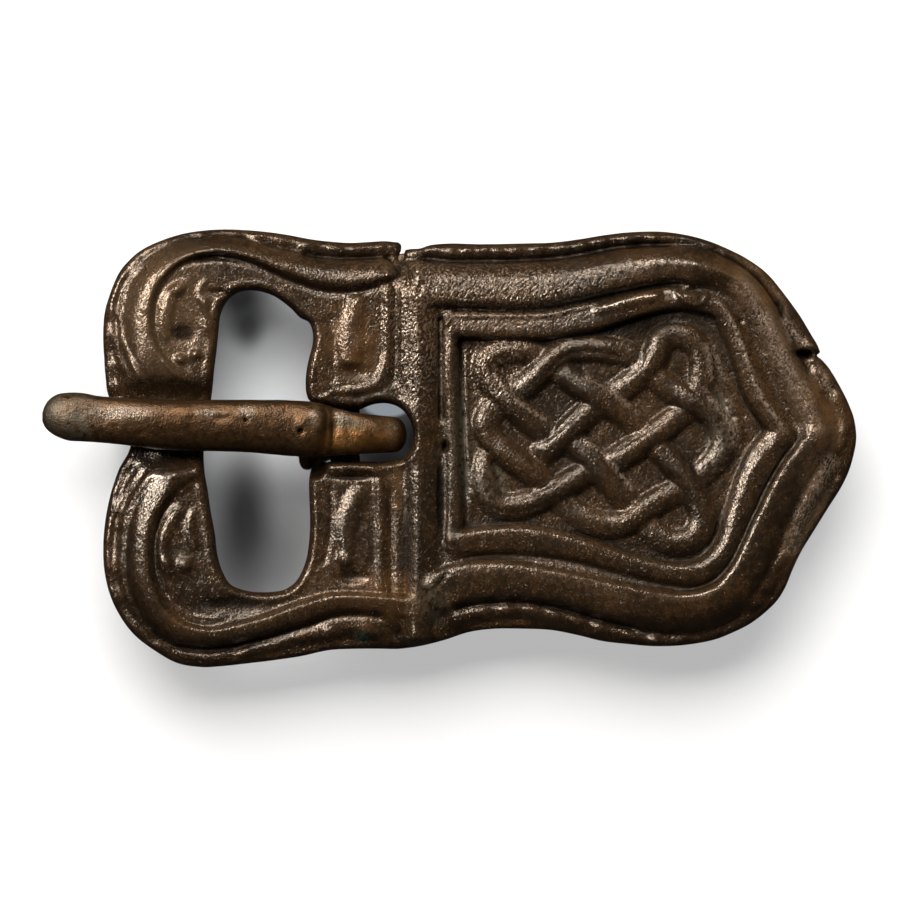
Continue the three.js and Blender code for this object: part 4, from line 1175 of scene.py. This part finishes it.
def tongue():
    """The tongue: a tapering bar with a collar, hooked round its bar at the rear."""
    rows = tongue_stations()
    ahead = np.gradient(rows[:, :2], axis=0)
    ahead /= np.linalg.norm(ahead, axis=1)[:, None]
    caps = np.sin(np.linspace(0, math.pi / 2, TONGUE_CAP_RINGS, endpoint=False))
    ends = (len(caps), len(caps))
    rows, ahead = np.pad(rows, (ends, (0, 0)), "edge"), np.pad(ahead, (ends, (0, 0)), "edge")
    scales = np.pad(np.ones(len(rows) - 2 * len(caps)), ends)
    scales[:len(caps)], scales[-len(caps):] = caps, caps[::-1]
    shape = bmesh.new()
    bmesh.ops.create_grid(shape, x_segments=len(rows) - 1, y_segments=TONGUE_SIDES, size=1)
    grid = np.array([vert.co[:2] for vert in shape.verts])
    station = np.rint((grid[:, 0] + 1) / 2 * (len(rows) - 1)).astype(int)
    row, way = rows[station], ahead[station]
    across, out = np.cos(grid[:, 1] * math.pi), np.sin(grid[:, 1] * math.pi)
    out = np.sign(out) * np.abs(out) ** TONGUE_FLATNESS
    thick = out * row[:, 2] / 2 * scales[station]
    corners = np.stack([
        row[:, 0] - way[:, 1] * thick,
        (row[:, 3] + row[:, 4] + across * (row[:, 3] - row[:, 4]) * scales[station]) / 2,
        row[:, 1] + way[:, 0] * thick,
    ], 1)
    upper = soft_step(out * MARKS_FADE) * soft_step(corners[:, 2] - BAR_HEIGHT - MARKS_ABOVE_BAR)
    corners[:, 2] += tongue_marks(corners[:, :2]) * upper
    corners[:, 0] = np.maximum(corners[:, 0], cad_box[0][0] / MM)
    corners[:, 2] = np.minimum(corners[:, 2], cad_box[1][2] / MM)
    for vert, corner in zip(shape.verts, corners):
        vert.co = corner
    bmesh.ops.remove_doubles(shape, verts=shape.verts[:], dist=TONGUE_MERGE_DISTANCE)
    bmesh.ops.dissolve_degenerate(shape, edges=shape.edges[:], dist=MERGE_DISTANCE)
    made = piece("tongue_hooked", new_mesh(shape, "tongue_hooked"), "tongue_body",
                 tongue_bronze)
    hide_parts("tongue")


# Finishes
class Value:
    """A number over a surface: Python's arithmetic on it adds the material's Math nodes."""

    def __init__(self, finish, socket):
        self.finish = finish
        self.socket = socket

    def math(self, operation, *values, clamp=False):
        """A Math node on values."""
        return self.finish.node("ShaderNodeMath", "Value", {"operation": operation, "use_clamp": clamp},
                                dict(enumerate(values)))

    def __add__(self, other):
        return self.math("ADD", self, other)

    __radd__ = __add__

    def __sub__(self, other):
        return self.math("SUBTRACT", self, other)

    def __rsub__(self, other):
        return self.math("SUBTRACT", other, self)

    def __mul__(self, other):
        return self.math("MULTIPLY", self, other)

    __rmul__ = __mul__

    def clamped(self):
        """The value kept from 0 to 1."""
        return self.math("ADD", self, 0, clamp=True)

    def rise(self, low, high):
        """0 where the value is low, 1 where it is high, and smooth between."""
        settings = {"interpolation_type": "SMOOTHSTEP"}
        sockets = {"Value": self, "From Min": low, "From Max": high}
        return self.finish.node("ShaderNodeMapRange", "Result", settings, sockets)


class Finish:
    """A material of nodes, for one of the buckle's metals or for the paper round it."""

    def __init__(self, name, **fixed):
        self.material = bpy.data.materials.new(name)
        self.material.use_nodes = True
        self.tree = self.material.node_tree
        self.shader = self.tree.nodes["Principled BSDF"]
        self.shader.inputs["Emission Strength"].default_value = 1
        self.shader.inputs["Emission Color"].default_value = (0, 0, 0, 1)
        for socket, value in fixed.items():
            self.shader.inputs[socket.replace("_", " ")].default_value = value
        self.places = self.node("ShaderNodeTexCoord", "Object")

    def node(self, kind, output, settings=(), sockets=()):
        """Adds a node, with its settings and then the values or links of its sockets."""
        node = self.tree.nodes.new(kind)
        for name, setting in dict(settings).items():
            setattr(node, name, setting)
        for name, value in dict(sockets).items():
            self.feed(node.inputs[name], value)
        return Value(self, node.outputs[output])

    def feed(self, socket, value):
        """Links a value that varies to a socket, or sets the socket to a plain one."""
        if isinstance(value, Value):
            self.tree.links.new(value.socket, socket)
        else:
            socket.default_value = value

    def noise(self, size, detail=2, roughness=0.5, distortion=0, offset=0, places=None):
        """Even noise from 0 to 1 whose features are a size in millimetres."""
        sockets = {"Vector": places or self.places, "Scale": 1 / (size * MM), "Detail": detail,
                   "Roughness": roughness, "Distortion": distortion}
        settings = {"noise_dimensions": "3D"}
        if offset:
            settings = {"noise_dimensions": "4D"}
            sockets["W"] = offset
        return self.node("ShaderNodeTexNoise", "Fac", settings, sockets)

    def attribute(self, name):
        """A value that the mesh carries for each vertex."""
        return self.node("ShaderNodeAttribute", "Fac", {"attribute_name": name})

    def spot(self, pixels, half_across, half_up, height=FRAME_CREST):
        """1 at a place on the face, falling to 0 at half sizes given in pixels."""
        return 1 - self.ellipse(pixels, half_across, half_up, height).rise(0.3, 1)

    def ellipse(self, pixels, half_across, half_up, height=0):
        """How far a place is from one given in pixels, as a share of half sizes."""
        mapped = self.node("ShaderNodeVectorMath", "Vector", {"operation": "SUBTRACT"},
                           {0: self.places, 1: (*(place(pixels) * MM), height * MM)})
        size = (half_across * PIXEL * MM, half_up * PIXEL * MM, SPOT_DEPTH * MM)
        mapped = self.node("ShaderNodeVectorMath", "Vector", {"operation": "DIVIDE"},
                           {0: mapped, 1: size})
        return self.node("ShaderNodeVectorMath", "Value", {"operation": "LENGTH"}, {0: mapped})

    def spots(self, rows):
        """Several spots added up."""
        made = self.spot(*rows[0])
        for row in rows[1:]:
            made += self.spot(*row)
        return made

    def mixed(self, share, first, second):
        """Two colours mixed by a share."""
        sockets = {0: share, 6: self.colour(first), 7: self.colour(second)}
        return self.node("ShaderNodeMix", 2, {"data_type": "RGBA"}, sockets)

    def colour(self, value):
        """A colour as a socket takes it."""
        return (*value, 1) if isinstance(value, tuple) and len(value) == 3 else value

    def bump(self, height, distance):
        """Fine unevenness, its distance in millimetres."""
        return self.node("ShaderNodeBump", "Normal", (), {"Height": height, "Distance": distance * MM})

    def finished(self, **sockets):
        """The material, with what varies fed to its shader."""
        for name, value in sockets.items():
            self.feed(self.shader.inputs[name.replace("_", " ")], value)
        return self.material


def cast_patina():
    """The casting's dark brown patina, rubbed on its crests, with earth and painted shade in its hollows,
    painted shade on some spots, and painted highlights on some lines and spots.
    """
    finish = Finish("cast_bronze")
    # The crests, the hollows and the lines of painted highlight, as the mesh carries them
    crest, depth, wear_and_painted_highlight = (finish.attribute(name) for name in ("crest", "depth", "wear_and_painted_highlight"))
    broad = finish.noise(6, detail=3, roughness=0.55)
    middle = finish.noise(1.6, detail=4, roughness=0.6, distortion=0.4, offset=3.1)
    fine = finish.noise(0.36, detail=3, roughness=0.65, offset=5.3)
    speck = finish.noise(0.12, offset=8.7)
    colour = finish.mixed(broad.rise(0.35, 0.7), DARK_BROWN, BROWN)
    colour = finish.mixed(middle.rise(0.5, 0.75) * 0.55, colour, WARM_BROWN)
    colour = finish.mixed((1 - fine).rise(0.35, 0.75) * 0.45, colour, NEAR_BLACK)
    colour = finish.mixed((fine * (0.4 + broad)).rise(0.3, 0.75) * 0.3, colour, ORANGE_BROWN)
    rubbed = (crest + (middle - 0.5) * 0.5).rise(0.1, 0.9)
    colour = finish.mixed(rubbed * 0.45, colour, RUBBED_BROWN)
    colour = finish.mixed((1 - speck).rise(0.4, 0.7) * 0.4, colour, NEAR_BLACK)
    colour = finish.mixed(speck.rise(0.5, 0.75) * 0.25, colour, LIGHT_BROWN)
    # Painted highlights: lighter brown on the places where the metal should shine
    painted_highlight = (finish.spots(PAINTED_HIGHLIGHT_SPOTS) * (0.5 + fine)).clamped()
    colour = finish.mixed(painted_highlight * 0.6, colour, LIGHT_BROWN)
    # The hollows are darkened as earth and as painted shade, and the shade spots as painted shade; both also
    # lose some shine
    hollow_earth_and_painted_shade = depth + finish.spots(PAINTED_SHADE_SPOTS) * 0.85
    earth_and_painted_shade = (hollow_earth_and_painted_shade + (fine - 0.5) * 0.9 + (broad - 0.5) * 0.8).rise(0.5, 1.15)
    colour = finish.mixed(earth_and_painted_shade * 0.85, colour, NEAR_BLACK)
    deposit = (finish.spots(DEPOSIT_SPOTS) * (0.4 + depth) * fine.rise(0.35, 0.6)).clamped()
    colour = finish.mixed(deposit * 0.7, colour, GREY_EARTH)
    warm = (finish.spots(WARM_SPOTS) * middle.rise(0.3, 0.65)).clamped()
    colour = finish.mixed(warm * 0.5, colour, ORANGE_BROWN)
    green = finish.spot(*GREEN_SPOT) * fine.rise(0.4, 0.6)
    colour = finish.mixed(green * 0.8, colour, COPPER_GREEN)
    sparkle = finish.spots(SPARKLE_SPOTS).clamped()
    plain = finish.spots(PLAIN_SPOTS).clamped()
    polish = rubbed * 0.04 + sparkle * 0.06 + wear_and_painted_highlight * 0.06
    roughness = 0.22 + (fine - 0.5) * 0.2 + earth_and_painted_shade * 0.3 + deposit * 0.3 - polish
    metallic = (0.25 + earth_and_painted_shade * 0.65).clamped()
    leaning = finish.node("ShaderNodeMapping", "Vector", {"vector_type": "TEXTURE"},
                          {"Vector": finish.places, "Rotation": (0, 0, GRAIN_LEAN), "Scale": GRAIN_STRETCH})
    cells = finish.noise(0.145, detail=1, distortion=0.3, offset=15.3, places=leaning)
    pimples = finish.noise(0.13, detail=1, offset=12.1).rise(0.58, 0.75)
    rough = (0.75 - plain * 0.5 - sparkle * 0.35).clamped()
    grain = cells * (0.3 + sparkle * 0.45 - plain * 0.2) + (speck + pimples) * rough * 0.35
    # Painted highlights: light strokes on the sparkling places, and light specks along the painted highlight
    # lines
    painted_highlight_scuffs = wear_and_painted_highlight * (speck * 0.5 + cells * 0.5).rise(0.42, 0.6)
    painted_highlight_strokes = cells.rise(0.5, 0.62) * sparkle * 0.3 + painted_highlight_scuffs
    colour = finish.mixed(painted_highlight_strokes.clamped(), colour, PAINTED_HIGHLIGHT_TAN)
    normal = finish.bump(grain, 0.12)
    return finish.finished(
        Base_Color=colour, Roughness=roughness.clamped(), Metallic=metallic, Normal=normal)


def tongue_patina():
    """The tongue's warmer brown patina, greenish at its tip and its base, with painted shade on its lower
    flank and in its pits, and painted highlights in its rubbed places.
    """
    finish = Finish("tongue_bronze")
    broad = finish.noise(3, detail=3, roughness=0.55, distortion=0.3, offset=1.7)
    middle = finish.noise(1.2, detail=4, roughness=0.6, distortion=0.5, offset=2.3)
    fine = finish.noise(0.3, detail=3, roughness=0.65, offset=6.1)
    speck = finish.noise(0.12, offset=9.9)
    colour = finish.mixed(broad.rise(0.2, 0.9) * 0.7 + 0.15, TONGUE_DARK, TONGUE_BROWN)
    colour = finish.mixed((1 - fine).rise(0.4, 0.75) * 0.6, colour, NEAR_BLACK)
    # Painted shade along the lower flank
    painted_flank_shade = finish.spot(*TONGUE_PAINTED_SHADE)
    colour = finish.mixed(painted_flank_shade * 0.85, colour, NEAR_BLACK)
    tip = 1.5 - finish.ellipse(*TONGUE_TIP) + (fine - 0.5) * 2.4 + (middle - 0.5) * 1.4
    tip = tip.rise(0.2, 1)
    colour = finish.mixed(tip * fine.rise(0.3, 0.65) * 0.8, colour, TIP_GREEN)
    base = (finish.spot(*TONGUE_BASE) + (fine - 0.5) * 1.2).rise(0.35, 0.8)
    colour = finish.mixed(base * 0.6, colour, TIP_GREEN)
    warm = (finish.spot(*TONGUE_WARMTH) + (middle - 0.5) * 0.8).rise(0.3, 0.9)
    colour = finish.mixed(warm * (0.2 + fine * 0.8), colour, TONGUE_ORANGE)
    wear_and_painted_highlight = finish.spots(WORN_SPOTS).clamped()
    # Painted highlights on the rubbed places
    painted_highlight_strokes = finish.spots(TONGUE_PAINTED_HIGHLIGHT_SPOTS) * speck.rise(0.42, 0.62)
    colour = finish.mixed(painted_highlight_strokes.clamped() * 0.55, colour, PAINTED_HIGHLIGHT_TAN)
    # Painted shade in the pits, which also lose their shine
    painted_pit_shade = finish.spots(PIT_PAINTED_SHADE_SPOTS).rise(0.15, 0.95)
    colour = finish.mixed(painted_pit_shade, colour, NEAR_BLACK)
    metallic = (0.75 - wear_and_painted_highlight * 0.65 - tip * 0.35 + painted_pit_shade).clamped()
    roughness = 0.34 + (fine - 0.5) * 0.25 + tip * 0.12 - wear_and_painted_highlight * 0.1
    normal = finish.bump(fine * (0.2 + wear_and_painted_highlight * 0.6) + speck * 0.5, 0.08)
    return finish.finished(
        Base_Color=colour, Roughness=roughness.clamped(), Metallic=metallic, Normal=normal)


def rove_patina():
    """The roves' patina, a little lighter and flaked."""
    finish = Finish("rove_bronze", Metallic=0.3)
    broad = finish.noise(2.5, detail=3, roughness=0.55, offset=4.4)
    fine = finish.noise(0.4, detail=3, roughness=0.6, offset=7.7)
    colour = finish.mixed(broad.rise(0.35, 0.65), BROWN, RUBBED_BROWN)
    colour = finish.mixed((1 - fine).rise(0.5, 0.75) * 0.6, colour, DARK_BROWN)
    green = (broad * fine).rise(0.3, 0.42)
    colour = finish.mixed(green * 0.5, colour, COPPER_GREEN)
    roughness = 0.42 + (fine - 0.5) * 0.35
    normal = finish.bump(fine, 0.12)
    return finish.finished(Base_Color=colour, Roughness=roughness.clamped(), Normal=normal)


def floor_paper_with_painted_shade():
    """The pale matt paper under the buckle, glowing evenly as if lit from below, with painted shade and
    painted shadows inside the opening and a painted patch of light in the slit.
    """
    finish = Finish("pale_paper_with_painted_shade", Roughness=0.9)
    # The paper is evenly pale outside the opening; inside it, its colour and glow are painted shade
    outside_painted_shade = finish.ellipse(*PAINTED_SHADE_AREA).rise(0.75, 0.97)
    colour, painted_shade_glow = HOLE_PAINTED_SHADE_GREY, HOLE_PAINTED_SHADE_GLOW
    # Painted shadows: darker spots in the opening's painted shade
    for pixels, half_across, half_up, share in PAINTED_SHADOWS:
        painted_shadow = (1 - finish.ellipse(pixels, half_across, half_up).rise(0.1, 1)) * share
        colour = finish.mixed(painted_shadow, colour, PAINTED_SHADE)
        painted_shade_glow = finish.mixed(painted_shadow, painted_shade_glow, PAINTED_SHADE)
    # A painted patch of light in the slit above the hook
    painted_slit_light = 1 - finish.ellipse(*PAINTED_SLIT_LIGHT).rise(0.7, 1)
    colour, painted_shade_glow = finish.mixed(painted_slit_light, colour, PAINTED_SLIT_LIGHT_GREY), finish.mixed(painted_slit_light, painted_shade_glow, PAINTED_SLIT_LIGHT_GREY)
    colour = finish.mixed(outside_painted_shade, colour, PALE)
    return finish.finished(Base_Color=colour, Emission_Color=finish.mixed(outside_painted_shade, painted_shade_glow, GLOW))


def backdrop_paper():
    """The backdrop's even pale glow."""
    finish = Finish("backdrop_paper", Roughness=1, Base_Color=BACKDROP_SHADE, Emission_Color=BACKDROP_GLOW)
    return finish.material


# The pieces
face = face_relief()
crests = soft_step((face - raster.smooth(face, CREST_RADIUS)) / CREST_RISE)
hollows = soft_step((raster.smooth(face, HOLLOW_RADIUS) - face) / HOLLOW_DEPTH)
# Where the lines of painted highlight lie
painted_highlights = painted_highlight_lines()
face = finish_face(face)
cast_bronze = cast_patina()
tongue_bronze = tongue_patina()
rove_bronze = rove_patina()
casting()
bar()
for number, (pixels, turn) in enumerate(STUDS, 1):
    stud(number, pixels)
    rove(number, pixels, turn)
tongue()


# The floor, the light and the camera
def staged(shape, name, material, **visible):
    """A piece of the studio, which isn't part of the buckle."""
    mesh = new_mesh(shape, name)
    mesh.materials.append(material)
    made = bpy.data.objects.new(name, mesh)
    bpy.context.scene.collection.objects.link(made)
    for rays, seen in visible.items():
        setattr(made, rays, seen)


def floor():
    """The paper floor, which the metal doesn't mirror."""
    shape = bmesh.new()
    bmesh.ops.create_grid(shape, x_segments=1, y_segments=1, size=FLOOR_HALF)
    staged(shape, "floor", floor_paper_with_painted_shade(), visible_glossy=False)


def backdrop():
    """A pale paper dome, far off and lighting nothing, so that a low view has no dark sky."""
    shape = bmesh.new()
    bmesh.ops.create_icosphere(shape, subdivisions=3, radius=DOME_RADIUS)
    staged(shape, "backdrop", backdrop_paper(), visible_diffuse=False, visible_glossy=False,
           visible_transmission=False, visible_shadow=False)


def softbox(name, at, size, power, shines):
    """A soft rectangular light that points at the buckle, either for its shine or to fill it in."""
    data = bpy.data.lights.new(name, "AREA")
    data.shape = "RECTANGLE"
    data.size, data.size_y = (side * MM for side in size)
    data.energy = power
    data.color = SHINE_COLOUR if shines else FILL_COLOUR
    lamp = bpy.data.objects.new(name, data)
    bpy.context.scene.collection.objects.link(lamp)
    lamp.visible_glossy = shines
    lamp.visible_diffuse = not shines
    lamp.location = Vector(at) * MM
    lamp.rotation_euler = (Vector((0, 0, FIELD)) - Vector(at)).to_track_quat("-Z", "Y").to_euler()


def studio():
    """The lamps, with a faint light from all round."""
    world = bpy.data.worlds.new("studio")
    bpy.context.scene.world = world
    world.use_nodes = True
    sky = world.node_tree.nodes["Background"]
    sky.inputs["Color"].default_value = WHITE
    sky.inputs["Strength"].default_value = WORLD_STRENGTH
    for row in SOFTBOXES:
        softbox(*row)
    bpy.context.scene.view_settings.view_transform = "Standard"


def camera():
    """A camera straight above, with the photograph's frame."""
    data = bpy.data.cameras.new("camera")
    made = bpy.data.objects.new("camera", data)
    bpy.context.scene.collection.objects.link(made)
    made.location = Vector((*place((PICTURE_PIXELS / 2, PICTURE_PIXELS / 2)), CAMERA_HEIGHT)) * MM
    data.lens = data.sensor_width * (CAMERA_HEIGHT - FACE_HEIGHT) / (PICTURE_PIXELS * PIXEL)
    data.clip_start = CLIP_NEAR
    data.clip_end = CLIP_FAR
    bpy.context.scene.camera = made


floor()
backdrop()
studio()
camera()
